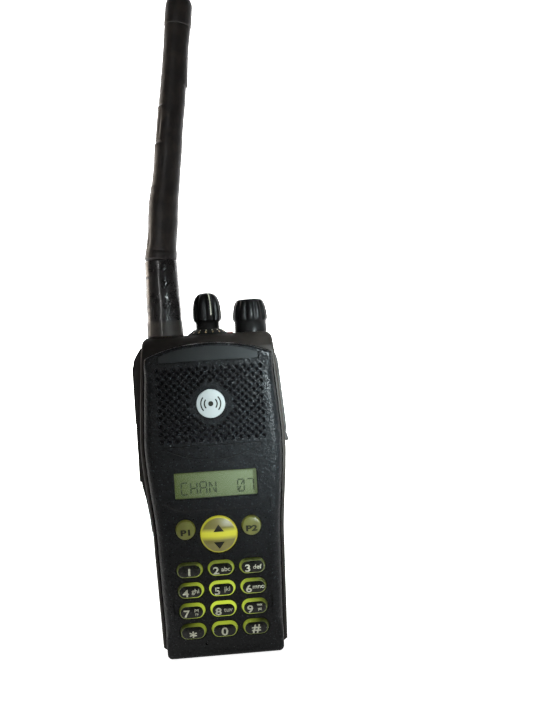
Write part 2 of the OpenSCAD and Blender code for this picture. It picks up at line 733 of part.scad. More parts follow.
module belt_clip_spring() {
    color(steel) translate([0, clip_pin[0], clip_pin[1]]) rotate([0, 90, 0]) difference() {
        cylinder(r = 2.1, h = 9, center = true);
        cylinder(r = 1.3, h = 10, center = true);
    }
}

// Side view of the clip: thumb tab at the top, long leaf, and a toe that closes on the pack
clip_outer = [[25.4, 93], [26.7, 92.2], [27.1, 88], [27.1, 70], [26.4, 58], [24.2, 46], [21.6, 38],
    [20.6, 35.4], [21, 33.4], [22.4, 31.6]];
clip_inner = [[21.2, 30.6], [19.2, 33], [18.6, 35.6], [19.6, 39], [22.4, 47], [24.5, 58.5], [25.2, 70],
    [25.2, 88], [24.8, 91.6]];

module belt_clip() {
    color([0.13, 0.13, 0.13]) difference() {
        union() {
            intersection() {
                along_x(-clip_half_w, clip_half_w) polygon(concat(clip_outer, clip_inner));
                along_y(10, 35) translate([0, 61.8]) round_rect(2 * clip_half_w, 64, 4);
            }
            for (s = [-1, 1]) along_x(s * 6.6 - 1.5, s * 6.6 + 1.5) {
                translate(clip_pin) circle(r = 2.3);
                polygon([[clip_pin[0], clip_pin[1] - 2.3], [25.4, 76.2], [25.4, 83.8],
                    [clip_pin[0], clip_pin[1] + 2.3]]);
            }
        }
        translate([-15, clip_pin[0], clip_pin[1]]) rotate([0, 90, 0]) cylinder(r = 1.25, h = 30);
    }
}

front_cover();
main_housing();
nameplate();
round_emblem();
display_window();
display_panel();
keypad_mat();
snap_domes();
keypad_board();
for (i = [0:11]) key(i);
round_button(-1);  // p1_button
round_button(1);  // p2_button
nav_rocker();
side_button(side_windows[0], -28.75, 1);  // ptt_button
side_button(side_windows[1], -28.65, 0.6);  // side_button_upper
side_button(side_windows[2], -28.65, 0.6);  // side_button_lower
side_button_frame();
channel_knob();
shaft(channel_x, 131);  // channel_shaft
rotary_body(channel_x);  // channel_switch
channel_dial();
volume_knob();
shaft(volume_x, 130);  // volume_shaft
rotary_body(volume_x);  // volume_control
antenna_base_sleeve();
antenna_whip();
antenna_tip_cap();
antenna_stud();
antenna_element();
antenna_seal();
antenna_socket();
main_board();
shield_cans();
speaker();
speaker_felt();
microphone();
status_light();
battery_case();
battery_cells();
battery_contacts();
radio_contacts();
battery_latch();
belt_clip();
belt_clip_bracket();
belt_clip_pin();
belt_clip_spring();
jack_cover();
jack_socket();
housing_screws();
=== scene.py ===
"""Looks of a hand-held two-way radio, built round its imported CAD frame.

Shapes are worked out in millimetres, in the frame's own axes, and turned into metres when a mesh
is made. X points right as seen from the front, Y from the front to the back, Z up.
"""
import json
import math

import bmesh
import bpy
from mathutils import Matrix, Vector, noise
from mathutils.geometry import delaunay_2d_cdt


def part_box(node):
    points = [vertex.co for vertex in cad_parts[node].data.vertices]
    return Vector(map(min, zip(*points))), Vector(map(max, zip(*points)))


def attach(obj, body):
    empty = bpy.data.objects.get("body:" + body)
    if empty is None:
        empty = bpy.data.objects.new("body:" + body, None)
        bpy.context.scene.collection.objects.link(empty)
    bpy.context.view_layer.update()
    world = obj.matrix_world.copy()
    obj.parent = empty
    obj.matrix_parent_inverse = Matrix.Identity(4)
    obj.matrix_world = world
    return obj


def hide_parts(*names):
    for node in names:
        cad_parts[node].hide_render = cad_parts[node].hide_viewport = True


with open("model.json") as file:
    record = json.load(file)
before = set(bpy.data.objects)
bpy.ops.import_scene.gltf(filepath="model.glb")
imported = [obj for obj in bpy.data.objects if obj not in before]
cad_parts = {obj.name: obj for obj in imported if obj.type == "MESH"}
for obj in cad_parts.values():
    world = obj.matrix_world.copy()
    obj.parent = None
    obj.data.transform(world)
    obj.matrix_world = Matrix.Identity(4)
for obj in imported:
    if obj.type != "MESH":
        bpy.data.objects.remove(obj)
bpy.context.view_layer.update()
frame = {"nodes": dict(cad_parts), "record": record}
MM = 0.001
TAU = 2 * math.pi

# ---------- the body's driving sizes, in mm ----------
BODY_H = 120.0
BASE_HALF_W, WAIST_HALF_W, SHOULDER_HALF_W, TOP_HALF_W = 23.2, 24.4, 27.1, 24.3
WAIST_Z, SHOULDER_Z = 40.0, 80.0
RIM_W = 1.55
ARCH_TOP_Z, ARCH_R = 116.9, 55.0
FRONT_Y, PARTING_Y = -18.5, -14.0
PLATE_BACK_Y = FRONT_Y + 1.8
RIM_Y = -15.2
BACK_Y = 1.0
COVER_BOTTOM_Z = 0.4
GROOVE_W = 0.32                        # width of the gaps round the cover and the plates
GRILLE_STEP, GRILLE_HOLE_R, GRILLE_DIMPLE = 1.45, 0.66, 0.28
KEYS = ["1", "2", "3", "4", "5", "6", "7", "8", "9", "star", "0", "hash"]


BOXES = {node: [Vector(corner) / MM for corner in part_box(node)] for node in frame["nodes"]}


def low_corner(node):
    return BOXES[node][0]


def high_corner(node):
    return BOXES[node][1]


def centre(node):
    """Middle of a CAD node's box, in mm."""
    return (low_corner(node) + high_corner(node)) / 2


def size(node):
    return high_corner(node) - low_corner(node)


ROCKER_R = size("nav_rocker").z / 2 - 0.6
BUTTON_R = size("p1_button").x / 2 - 0.35
EMBLEM = centre("round_emblem")
WINDOW = centre("display_window")
ROCKER = centre("nav_rocker")
CHANNEL = centre("channel_knob")
VOLUME = centre("volume_knob")
ANTENNA = centre("antenna_base_sleeve")


def mix(a, b, t):
    return a + (b - a) * t


def smooth(t):
    t = min(1.0, max(0.0, t))
    return t * t * (3 - 2 * t)


def lookup(table, x):
    """Value at x in a list of (x, value) pairs, straight between them."""
    if x <= table[0][0]:
        return table[0][1]
    for (x0, v0), (x1, v1) in zip(table, table[1:]):
        if x <= x1:
            return mix(v0, v1, (x - x0) / (x1 - x0))
    return table[-1][1]


def half_width(z):
    """Half of the housing's width at height z."""
    if z < WAIST_Z:
        return mix(BASE_HALF_W, WAIST_HALF_W, max(0.0, z) / WAIST_Z)
    if z < SHOULDER_Z:
        return mix(WAIST_HALF_W, SHOULDER_HALF_W, smooth((z - WAIST_Z) / (SHOULDER_Z - WAIST_Z)))
    t = min(1.0, (z - SHOULDER_Z) / (BODY_H - SHOULDER_Z))
    return mix(SHOULDER_HALF_W, TOP_HALF_W, t ** 1.2)


def corner_in(h, r):
    """How far a round corner of radius r takes a side in, at height h above its lowest point."""
    return 0.0 if h >= r else r - math.sqrt(max(0.0, r * r - (r - h) ** 2))


def arch_z(x, drop=0.0):
    return ARCH_TOP_Z - drop - (ARCH_R - math.sqrt(ARCH_R ** 2 - x * x))


# ---------- mesh helpers ----------
materials = {}


def mesh_object(name, build, sharp=30):
    """Makes an object in metres from a Builder's points in millimetres."""
    mesh = bpy.data.meshes.new(name)
    mesh.from_pydata([tuple(c * MM for c in v) for v in build.verts], [], build.faces)
    mesh.polygons.foreach_set("material_index", build.slots)
    obj = bpy.data.objects.new(name, mesh)
    bpy.context.scene.collection.objects.link(obj)
    tidy_mesh(mesh, sharp)
    return obj


def piece(name, build, body, slots, node, sharp=35):
    """Makes a visible piece that replaces a CAD node, and ties it to its body and material slots."""
    obj = mesh_object(name, build, sharp)
    for slot_name in slots:
        obj.data.materials.append(materials[slot_name])
    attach(obj, body)
    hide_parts(node)
    return obj


def tidy_mesh(mesh, sharp):
    """Makes faces point outwards, and shades them smooth up to the given angle."""
    bm = bmesh.new()
    bm.from_mesh(mesh)
    bmesh.ops.remove_doubles(bm, verts=bm.verts, dist=0.002 * MM)
    bmesh.ops.recalc_face_normals(bm, faces=bm.faces)
    bm.to_mesh(mesh)
    bm.free()
    mesh.shade_smooth()
    mesh.set_sharp_from_angle(angle=math.radians(sharp))


class Builder:
    """Collects points, faces and the material index of each face."""

    def __init__(self):
        self.verts, self.faces, self.slots = [], [], []

    def add(self, points):
        start = len(self.verts)
        self.verts.extend(Vector(p) for p in points)
        return list(range(start, len(self.verts)))

    def face(self, ids, slot=0):
        self.faces.append(list(ids))
        self.slots.append(slot)

    def bridge(self, ring_a, ring_b, slot=0, closed=True):
        n = len(ring_a)
        for i in range(n if closed else n - 1):
            j = (i + 1) % n
            self.face((ring_a[i], ring_a[j], ring_b[j], ring_b[i]), slot)

    def loft(self, rings, slot=0, cap_start=True, cap_end=True, closed=True):
        """Skin over rings of points that all have the same count. Returns the rings' ids."""
        ids = [self.add(r) for r in rings]
        for a, b in zip(ids, ids[1:]):
            self.bridge(a, b, slot, closed)
        if cap_start:
            self.face(ids[0], slot)
        if cap_end:
            self.face(ids[-1], slot)
        return ids

    def lathe(self, centre_xy, profile, slot=0, steps=64, radius_at=None):
        """Turns (radius, z) points about an upright axis. radius_at may change a radius by angle."""
        rings = []
        for r, z in profile:
            ring = []
            for i in range(steps):
                a = TAU * i / steps
                rr = radius_at(r, z, a) if radius_at else r
                ring.append((centre_xy[0] + rr * math.cos(a), centre_xy[1] + rr * math.sin(a), z))
            rings.append(ring)
        return self.loft(rings, slot)

    def fill(self, outer, holes, extra, y_at, slot=0):
        """Fills an X-Z outline with holes by triangles, and lays it at y_at(x, z).
        outer and holes are lists of point ids that are already placed."""
        loops = [outer] + holes
        points, edges, ids = [], [], []
        for loop in loops:
            start = len(points)
            points += [Vector((self.verts[i][0], self.verts[i][2])) for i in loop]
            ids += loop
            edges += [(start + k, start + (k + 1) % len(loop)) for k in range(len(loop))]
        fixed = len(points)
        points += [Vector(p) for p in extra]
        out, _, tris, origin, _, _ = delaunay_2d_cdt(points, edges, [], 0, 1e-5)
        hole_shapes = [[points_of(self.verts[i]) for i in h] for h in holes]
        outer_shape = [points_of(self.verts[i]) for i in outer]
        new_ids = []
        for co, src in zip(out, origin):
            known = [s for s in src if s < fixed]
            new_ids.append(ids[known[0]] if known else None)
        for tri in tris:
            mid = sum((out[k] for k in tri), Vector((0, 0))) / 3
            if not inside(mid, outer_shape) or any(near(mid, h) and inside(mid, h) for h in hole_shapes):
                continue
            for k in tri:
                if new_ids[k] is None:
                    new_ids[k] = self.add([(out[k][0], y_at(out[k][0], out[k][1]), out[k][1])])[0]
            self.face([new_ids[k] for k in tri], slot)


def points_of(v):
    return (v[0], v[2])


def near(p, shape):
    """True when p may be inside a small shape: a quick test on the shape's box."""
    xs = [q[0] for q in shape]
    zs = [q[1] for q in shape]
    return min(xs) <= p[0] <= max(xs) and min(zs) <= p[1] <= max(zs)


def inside(p, shape):
    x, z = p[0], p[1]
    result = False
    for (x0, z0), (x1, z1) in zip(shape, shape[1:] + shape[:1]):
        if (z0 > z) != (z1 > z) and x < (x1 - x0) * (z - z0) / (z1 - z0) + x0:
            result = not result
    return result


def circle(cx, cz, r, n=32):
    return [(cx + r * math.cos(TAU * i / n), cz + r * math.sin(TAU * i / n)) for i in range(n)]


def stadium(cx, cz, w, h, n=12):
    """Oval with straight top and bottom and half-round ends."""
    pts = []
    for side, start in ((1, -math.pi / 2), (-1, math.pi / 2)):
        for i in range(n + 1):
            a = start + math.pi * i / n
            pts.append((cx + side * (w - h) / 2 + h / 2 * math.cos(a), cz + h / 2 * math.sin(a)))
    return pts


def round_rect(cx, cz, w, h, r, n=6):
    pts = []
    for sx, sz, start in ((1, -1, -90), (1, 1, 0), (-1, 1, 90), (-1, -1, 180)):
        for i in range(n + 1):
            a = math.radians(start + 90 * i / n)
            pts.append((cx + sx * (w / 2 - r) + r * math.cos(a), cz + sz * (h / 2 - r) + r * math.sin(a)))
    return pts


def at_y(outline, y):
    return [(x, y, z) for x, z in outline]


def text_shapes(body_text, height, bold=0.0, widen=1.0, longest=0.35):
    """Flat letters as (points, faces) in mm, centred, in a plane whose second axis is up.
    Their edges are split until none is over the longest, so that they can follow a curved face."""
    curve = bpy.data.curves.new("letters", "FONT")
    curve.body = body_text
    curve.size = height / 0.72
    curve.offset = bold
    curve.align_x = "CENTER"
    obj = bpy.data.objects.new("letters", curve)
    bpy.context.scene.collection.objects.link(obj)
    bpy.context.view_layer.update()
    mesh = bpy.data.meshes.new_from_object(obj.evaluated_get(bpy.context.evaluated_depsgraph_get()))
    bm = bmesh.new()
    bm.from_mesh(mesh)
    bmesh.ops.remove_doubles(bm, verts=bm.verts, dist=0.001)
    for _ in range(5):
        long_edges = [e for e in bm.edges if e.calc_length() > longest]
        if not long_edges:
            break
        bmesh.ops.subdivide_edges(bm, edges=long_edges, cuts=1)
        bmesh.ops.triangulate(bm, faces=bm.faces)
    bm.verts.index_update()
    points = [(v.co.x * widen, v.co.y) for v in bm.verts]
    faces = [[v.index for v in f.verts] for f in bm.faces]
    bm.free()
    bpy.data.objects.remove(obj)
    bpy.data.curves.remove(curve)
    bpy.data.meshes.remove(mesh)
    xs = [p[0] for p in points]
    zs = [p[1] for p in points]
    mid = ((min(xs) + max(xs)) / 2, (min(zs) + max(zs)) / 2)
    return [(x - mid[0], z - mid[1]) for x, z in points], faces


def add_text(build, body_text, height, cx, cz, y_at, slot, bold=0.0, widen=1.0, lift=0.03):
    """Lays flat letters on a front surface y_at(x, z), a hair in front of it."""
    points, faces = text_shapes(body_text, height, bold, widen)
    ids = build.add([(cx + x, y_at(cx + x, cz + z) - lift, cz + z) for x, z in points])
    for f in faces:
        build.face([ids[k] for k in f], slot)


def boolean(obj, operation, build, name):
    """Joins a closed shape, given as a Builder, to an object, or cuts it out of it."""
    other = mesh_object(name, build)
    mesh = other.data
    mod = obj.modifiers.new(name, "BOOLEAN")
    mod.operation, mod.solver, mod.object = operation, "EXACT", other
    apply_modifiers(obj)
    bpy.data.objects.remove(other)
    bpy.data.meshes.remove(mesh)


def apply_modifiers(obj):
    bpy.context.view_layer.update()
    graph = bpy.context.evaluated_depsgraph_get()
    new_mesh = bpy.data.meshes.new_from_object(obj.evaluated_get(graph))
    old = obj.data
    obj.modifiers.clear()
    obj.data = new_mesh
    new_mesh.name = old.name
    bpy.data.meshes.remove(old)


def bevel(obj, width, segments=2, angle=40):
    """Rounds an object's edges by the given width in mm."""
    mod = obj.modifiers.new("edges", "BEVEL")
    mod.width, mod.segments = width * MM, segments
    mod.limit_method, mod.angle_limit = "ANGLE", math.radians(angle)
    mod.harden_normals = False


def box_points(low, high):
    (x0, y0, z0), (x1, y1, z1) = low, high
    return [[(x0, y0, z0), (x1, y0, z0), (x1, y1, z0), (x0, y1, z0)],
            [(x0, y0, z1), (x1, y0, z1), (x1, y1, z1), (x0, y1, z1)]]


# ---------- materials ----------
class Nodes:
    """Short way to write a material's nodes. Texture sizes are in mm."""

    def __init__(self, name, color, rough, **sockets):
        self.mat = bpy.data.materials.new(name)
        self.mat.use_nodes = True
        self.tree = self.mat.node_tree
        self.bsdf = self.tree.nodes["Principled BSDF"]
        self.set_input(self.bsdf, "Base Color", (*color, 1))
        self.set_input(self.bsdf, "Roughness", rough)
        for key, value in sockets.items():
            self.set_input(self.bsdf, key.replace("_", " "), value)
        self.coords = self.tree.nodes.new("ShaderNodeTexCoord").outputs["Object"]
        self.last_bump = None
        materials[name] = self.mat

    def set_input(self, node, name, value):
        if isinstance(value, bpy.types.NodeSocket):
            self.tree.links.new(value, node.inputs[name])
        else:
            node.inputs[name].default_value = value

    def node(self, kind, out=0, **inputs):
        n = self.tree.nodes.new(kind)
        for key, value in inputs.items():
            if hasattr(n, key):
                setattr(n, key, value)
            else:
                name = key.replace("_", " ")
                self.set_input(n, int(key[1:]) if key[0] == "i" and key[1:].isdigit() else name, value)
        return n.outputs[out]

    def noise(self, size_mm, detail=3.0, rough=0.5, stretch=None):
        return self.node("ShaderNodeTexNoise", Vector=self.scaled(stretch), Scale=1 / (size_mm * MM),
                         Detail=detail, Roughness=rough)

    def cells(self, size_mm, feature="F1", stretch=None):
        return self.node("ShaderNodeTexVoronoi", feature=feature, Vector=self.scaled(stretch),
                         Scale=1 / (size_mm * MM))

    def scaled(self, stretch):
        if not stretch:
            return self.coords
        return self.node("ShaderNodeMapping", Vector=self.coords, Scale=stretch)

    def curve(self, value, low, high, out_low=0.0, out_high=1.0):
        return self.node("ShaderNodeMapRange", Value=value, From_Min=low, From_Max=high,
                         To_Min=out_low, To_Max=out_high)

    def blend(self, factor, a, b):
        return self.node("ShaderNodeMix", 2, data_type="RGBA", i0=factor, i6=rgba(a), i7=rgba(b))

    def part(self, axis):
        return self.node("ShaderNodeSeparateXYZ", "XYZ".index(axis), Vector=self.coords)

    def color(self, value):
        self.set_input(self.bsdf, "Base Color", value)

    def rough(self, value):
        self.set_input(self.bsdf, "Roughness", value)

    def bump(self, height, strength, depth_mm):
        inputs = {"Height": height, "Strength": strength, "Distance": depth_mm * MM}
        if self.last_bump:
            inputs["Normal"] = self.last_bump
        self.last_bump = self.node("ShaderNodeBump", **inputs)
        self.set_input(self.bsdf, "Normal", self.last_bump)


def rgba(c):
    return c if isinstance(c, bpy.types.NodeSocket) else (*c, 1)


DUST = (0.30, 0.27, 0.24)


def moulded(name, color, rough, grain_mm=0.35, grain=0.25, dust=0.25, **sockets):
    """Moulded plastic or rubber: fine grain, faint patches of dust and finger grease, hair scratches."""
    m = Nodes(name, color, rough, **sockets)
    patches = m.curve(m.noise(9, 4, 0.6), 0.42, 0.72)
    share = m.node("ShaderNodeMath", operation="MULTIPLY", i0=patches, i1=dust * 0.12)
    m.color(m.blend(share, color, DUST))
    m.rough(m.curve(m.noise(5, 5, 0.65), 0.3, 0.7, rough - 0.07, rough + 0.1))
    m.bump(m.noise(grain_mm, 2), grain, 0.03)
    m.bump(m.noise(0.25, 4, 0.6, (1, 1, 0.08)), 0.12, 0.02)


def metal(name, color, rough):
    m = Nodes(name, color, rough, Metallic=1.0)
    m.rough(m.curve(m.noise(0.4, 3, 0.6, (1, 1, 0.1)), 0.3, 0.7, rough - 0.08, rough + 0.12))
    m.bump(m.noise(0.2, 2, 0.5, (1, 1, 0.05)), 0.1, 0.01)


def make_cover_plastic():
    """Charcoal plastic with a leather grain; its small facets catch the light one by one, and pale specks
    painted into its colour stand for glints.
    """
    m = Nodes("cover_plastic", (0.01, 0.014, 0.016), 0.3, Specular_IOR_Level=0.13)
    m.bump(m.cells(0.9, "SMOOTH_F1"), 0.6, 0.25)
    m.bump(m.noise(0.5, 3, 0.6), 0.6, 0.16)
    # Pale specks in the base colour: painted glints of light on the grain.
    painted_glints = m.curve(m.noise(0.55, 2), 0.63, 0.77)
    m.color(m.blend(painted_glints, (0.0028, 0.0032, 0.0036), (0.036, 0.046, 0.05)))
    m.rough(m.curve(m.noise(0.6, 4, 0.7), 0.3, 0.7, 0.22, 0.42))


def silicone_with_painted_glow(name, dark, pale, painted_glow_color, lamp, reach):
    """Translucent rubber with a painted glow standing in for light from behind: emission is brightest at a
    point and fades away from it, though no lamp is there. All in mm.
    """
    m = Nodes(name, dark, 0.36, Subsurface_Weight=0.3, Specular_IOR_Level=0.25)
    m.set_input(m.bsdf, "Subsurface Radius", (0.9 * MM, 1.0 * MM, 0.3 * MM))
    m.set_input(m.bsdf, "Subsurface Scale", 1.0)
    m.color(m.blend(m.curve(m.noise(3.2, 3), 0.35, 0.7), dark, pale))
    m.bump(m.noise(0.4, 2), 0.05, 0.02)
    # Painted glow: emission strength falls with distance from the given point, the lamp argument.
    away = m.node("ShaderNodeVectorMath", 1, operation="DISTANCE", i0=m.coords, i1=tuple(Vector(lamp) * MM))
    m.set_input(m.bsdf, "Emission Color", (*painted_glow_color, 1))
    m.set_input(m.bsdf, "Emission Strength", m.curve(away, 4 * MM, reach * MM, 1, 0.02))
    return m


def make_rocker_silicone():
    """As the keys, but straw-coloured, with a painted highlight across its trough and a painted glowing rim
    round its edge.
    """
    m = silicone_with_painted_glow("rocker_silicone", (0.3, 0.27, 0.1), (0.4, 0.36, 0.17), (0.46, 0.44, 0.03), ROCKER, 12)
    # Painted highlight: a pale glowing stripe across the trough, where light would catch it.
    painted_band_z = ROCKER.z + 0.3
    height = m.node("ShaderNodeMath", operation="SUBTRACT", i0=m.part("Z"), i1=painted_band_z * MM)
    off = m.node("ShaderNodeMath", operation="ABSOLUTE", i0=height)
    band = m.curve(off, 0.7 * MM, 2.3 * MM, 1, 0)
    # Painted glowing rim round the rocker's edge.
    spot = m.node("ShaderNodeVectorMath", 1, operation="DISTANCE", i0=m.coords,
                  i1=(0, low_corner("nav_rocker").y * MM, ROCKER.z * MM))
    edge = m.curve(spot, 0.94 * ROCKER_R * MM, 1.0 * ROCKER_R * MM, 0, 0.8)
    painted_band_and_rim = m.node("ShaderNodeMath", operation="MAXIMUM", i0=band, i1=edge)
    base = m.blend(m.noise(2.5, 3), (0.07, 0.06, 0.02), (0.11, 0.095, 0.038))
    # Colour and emission follow the painted highlight and the painted rim.
    m.color(m.blend(painted_band_and_rim, base, (0.15, 0.15, 0.012)))
    m.set_input(m.bsdf, "Emission Strength", m.curve(painted_band_and_rim, 0, 1, 0.1, 0.75))


def make_antenna_materials():
    shrink = Nodes("heat_shrink", (0.010, 0.009, 0.009), 0.27, Coat_Weight=0.35)
    foot = shrink.curve(shrink.part("Z"), (BODY_H + 5.2) * MM, (BODY_H + 6.4) * MM, 1, 0)
    dusty = shrink.blend(shrink.noise(2.2, 5, 0.7), (0.010, 0.008, 0.007), (0.04, 0.032, 0.025))
    shrink.color(shrink.blend(foot, (0.010, 0.009, 0.009), dusty))
    gloss = shrink.curve(shrink.noise(3, 5, 0.7), 0.35, 0.7, 0.2, 0.42)
    shrink.rough(shrink.curve(foot, 0, 1, gloss, 0.6))
    shrink.bump(shrink.noise(3.5, 3, 0.5, (1, 1, 0.3)), 0.4, 0.3)
    shrink.bump(shrink.noise(0.6, 3), 0.2, 0.05)

    wrap = Nodes("antenna_rubber", (0.012, 0.010, 0.009), 0.5)
    dust = wrap.curve(wrap.noise(5, 6, 0.7), 0.44, 0.72, 0, 0.5)
    wrap.color(wrap.blend(dust, (0.010, 0.0085, 0.008), (0.05, 0.036, 0.027)))
    wrap.rough(wrap.curve(wrap.noise(2.5, 5, 0.7), 0.35, 0.7, 0.34, 0.62))
    wrap.bump(wrap.noise(3.0, 4, 0.6, (1, 1, 0.5)), 0.5, 0.45)
    wrap.bump(wrap.noise(0.5, 3), 0.25, 0.05)


def make_display_materials():
    window = Nodes("clear_window", (0.02, 0.025, 0.015), 0.06, Alpha=0.14)
    window.rough(window.curve(window.noise(2, 5, 0.7), 0.4, 0.8, 0.05, 0.2))
    lcd = Nodes("display_glass", (0.12, 0.16, 0.04), 0.4)
    # Painted light: colour and glow are brightest near the window's upper right and fade to the left, as
    # light falling from the upper right would.
    far = lcd.node("ShaderNodeVectorMath", 1, operation="DISTANCE", i0=lcd.coords,
                   i1=tuple(c * MM for c in (WINDOW.x + 10, FRONT_Y, WINDOW.z + 5)))
    # This mask runs from 0 near the upper right to 1 far to the left: painted shade.
    shade = lcd.curve(far, 2 * MM, 26 * MM)
    lcd.color(lcd.blend(shade, (0.045, 0.055, 0.03), (0.03, 0.04, 0.012)))
    # The display's glow is painted light falling on it, with painted shade to the left.
    lcd.set_input(lcd.bsdf, "Emission Color", lcd.blend(shade, (0.20, 0.275, 0.14), (0.08, 0.11, 0.026)))
    lcd.set_input(lcd.bsdf, "Emission Strength", 0.72)
    segment = Nodes("display_segment", (0.03, 0.045, 0.015), 0.4)
    segment.color(segment.blend(segment.noise(1.5, 3), (0.012, 0.02, 0.005), (0.03, 0.045, 0.015)))


def make_materials():
    make_cover_plastic()
    moulded("housing_plastic", (0.009, 0.007, 0.0058), 0.5, grain_mm=0.5, grain=0.15, dust=0.2,
            Specular_IOR_Level=0.16)
    # Near-black: the dial ring's own colour, and painted shade on the walls of the cover's grooves.
    moulded("groove_black", (0.002, 0.002, 0.002), 0.7, grain=0.1, dust=0.05, Specular_IOR_Level=0.15)
    moulded("nameplate", (0.006, 0.0075, 0.008), 0.42, grain_mm=0.3, grain=0.6, dust=0.1,
            Specular_IOR_Level=0.2)
    moulded("battery_plastic", (0.011, 0.0095, 0.0085), 0.5, grain_mm=0.4, grain=0.4,
            Specular_IOR_Level=0.25)
    moulded("clip_plastic", (0.009, 0.009, 0.009), 0.45, grain_mm=0.4, grain=0.3,
            Specular_IOR_Level=0.3)
    moulded("control_plastic", (0.002, 0.002, 0.002), 0.32, grain_mm=0.3, grain=0.15, dust=0.04,
            Specular_IOR_Level=0.14)
    moulded("black_rubber", (0.010, 0.009, 0.008), 0.6, grain_mm=0.3, grain=0.35,
            Specular_IOR_Level=0.25)
    moulded("grey_rubber", (0.08, 0.08, 0.08), 0.7)
    moulded("black_felt", (0.008, 0.008, 0.008), 0.95, grain_mm=0.15, grain=0.9)
    moulded("speaker_black", (0.02, 0.02, 0.022), 0.5)
    moulded("cell_wrap", (0.05, 0.12, 0.32), 0.4)
    moulded("light_lens", (0.10, 0.012, 0.01), 0.2, grain=0.02)
    metal("spring_steel", (0.52, 0.52, 0.54), 0.32)
    metal("switch_metal", (0.45, 0.45, 0.46), 0.4)
    metal("tinned_steel", (0.6, 0.6, 0.6), 0.38)
    metal("brass_fitting", (0.62, 0.44, 0.18), 0.3)
    metal("gold_contact", (0.8, 0.58, 0.22), 0.25)

    emblem = Nodes("emblem_metal", (0.23, 0.25, 0.247), 0.4, Metallic=0.15)
    emblem.rough(emblem.curve(emblem.noise(1.5, 4), 0.3, 0.7, 0.34, 0.5))
    emblem.bump(emblem.noise(0.3, 3), 0.1, 0.02)
    board = Nodes("circuit_board", (0.02, 0.1, 0.04), 0.35)
    tracks = board.curve(board.cells(2.0, "DISTANCE_TO_EDGE"), 0.03, 0.06)
    board.color(board.blend(tracks, (0.05, 0.2, 0.09), (0.015, 0.08, 0.035)))

    # Painted glow: keys brightest near the keypad's middle, buttons brightest near the rocker.
    silicone_with_painted_glow("key_silicone", (0.10, 0.12, 0.04), (0.14, 0.16, 0.06), (0.5, 0.62, 0.05),
                 (0, FRONT_Y, 22), 16.5)
    silicone_with_painted_glow("button_silicone", (0.042, 0.044, 0.011), (0.06, 0.062, 0.019), (0.085, 0.09, 0.012),
                 ROCKER, 26)
    make_rocker_silicone()
    moulded("key_black", (0.003, 0.0035, 0.002), 0.25, grain=0.05, dust=0.06, Specular_IOR_Level=0.2)
    legend = Nodes("legend_white", (0.56, 0.58, 0.50), 0.5)
    worn = legend.curve(legend.noise(0.5, 3), 0.45, 0.7)
    legend.color(legend.blend(worn, (0.46, 0.47, 0.36), (0.26, 0.27, 0.20)))
    tan = Nodes("dial_tan", (0.35, 0.25, 0.12), 0.5)
    tan.color(tan.blend(tan.noise(0.4, 3), (0.38, 0.28, 0.14), (0.22, 0.15, 0.07)))
    dark_print = Nodes("dark_print", (0.006, 0.0055, 0.003), 0.5, Specular_IOR_Level=0.15)
    dark_print.rough(dark_print.curve(dark_print.noise(0.5), 0.3, 0.7, 0.4, 0.6))
    make_display_materials()
    make_antenna_materials()


# ---------- front cover ----------
SIDE_ROUND, END_ROUND = 3.8, 1.3       # width of the rounded edge at the sides, and at the ends
SIDE_DROP, END_DROP = 3.4, 1.2         # how far it falls back
KEYPAD_DROP = 0.35                     # the keypad's field lies this much further back
STEP_W = 0.5                           # half-width of the slope round that field


def cover_edge():
    """The cover's outline, anticlockwise from the middle of its base: (x, z, share of side)."""
    edge_x = half_width(0) - RIM_W
    corner_r = 1.8
    right = [(x, COVER_BOTTOM_Z, 0.0) for x in frange(0, edge_x - corner_r, 14)]
    for i in range(1, 8):
        a = math.radians(-90 + 90 * i / 7)
        z = COVER_BOTTOM_Z + corner_r + corner_r * math.sin(a)
        right.append((half_width(z) - RIM_W - corner_r + corner_r * math.cos(a), z, 0.0))
    top_r = 1.6
    side_top = 111.0
    for z in frange(COVER_BOTTOM_Z + corner_r, side_top, 110)[1:]:
        share = min(smooth((z - 4) / 9), smooth((side_top - z) / 7))
        right.append((half_width(z) - RIM_W, z, share))
    corner_x = half_width(side_top) - RIM_W - top_r
    lean = math.degrees(math.asin(corner_x / ARCH_R))
    for i in range(1, 7):
        a = math.radians((90 - lean) * i / 6)
        z = side_top + top_r * math.sin(a)
        right.append((corner_x + top_r * math.cos(a), z, 0.0))
    x_last, z_last, _ = right[-1]
    drop = arch_z(x_last) - z_last
    for x in frange(x_last, 0, 30)[1:]:
        right.append((x, arch_z(x) - drop * smooth(x / x_last), 0.0))
    left = [(-x, z, s) for x, z, s in reversed(right[1:-1])]
    return right + left


def frange(a, b, n):
    return [mix(a, b, i / n) for i in range(n + 1)]


def cover_rings(edge):
    """Rings that roll the outline over from the parting line to the flat front."""
    n = len(edge)
    normals = []
    for i in range(n):
        (x0, z0, _), (x1, z1, _) = edge[i - 1], edge[(i + 1) % n]
        length = math.hypot(x1 - x0, z1 - z0)
        normals.append(((z1 - z0) / length, -(x1 - x0) / length))
    rings = [[(x, PARTING_Y, z) for x, z, _ in edge]]
    for k in range(10):
        a = math.radians(10 * k)
        ring = []
        for (x, z, share), (nx, nz) in zip(edge, normals):
            width, drop = mix(END_ROUND, SIDE_ROUND, share), mix(END_DROP, SIDE_DROP, share)
            inset = width * (1 - math.cos(a))
            ring.append((x - nx * inset, FRONT_Y + drop * (1 - math.sin(a)), z - nz * inset))
        rings.append(ring)
    return rings


def field_line(x):
    """Height of the line between the keypad's field and the display's, at x."""
    return 55.2 + 4.6 * smooth((abs(x) - 12.5) / 11.5)


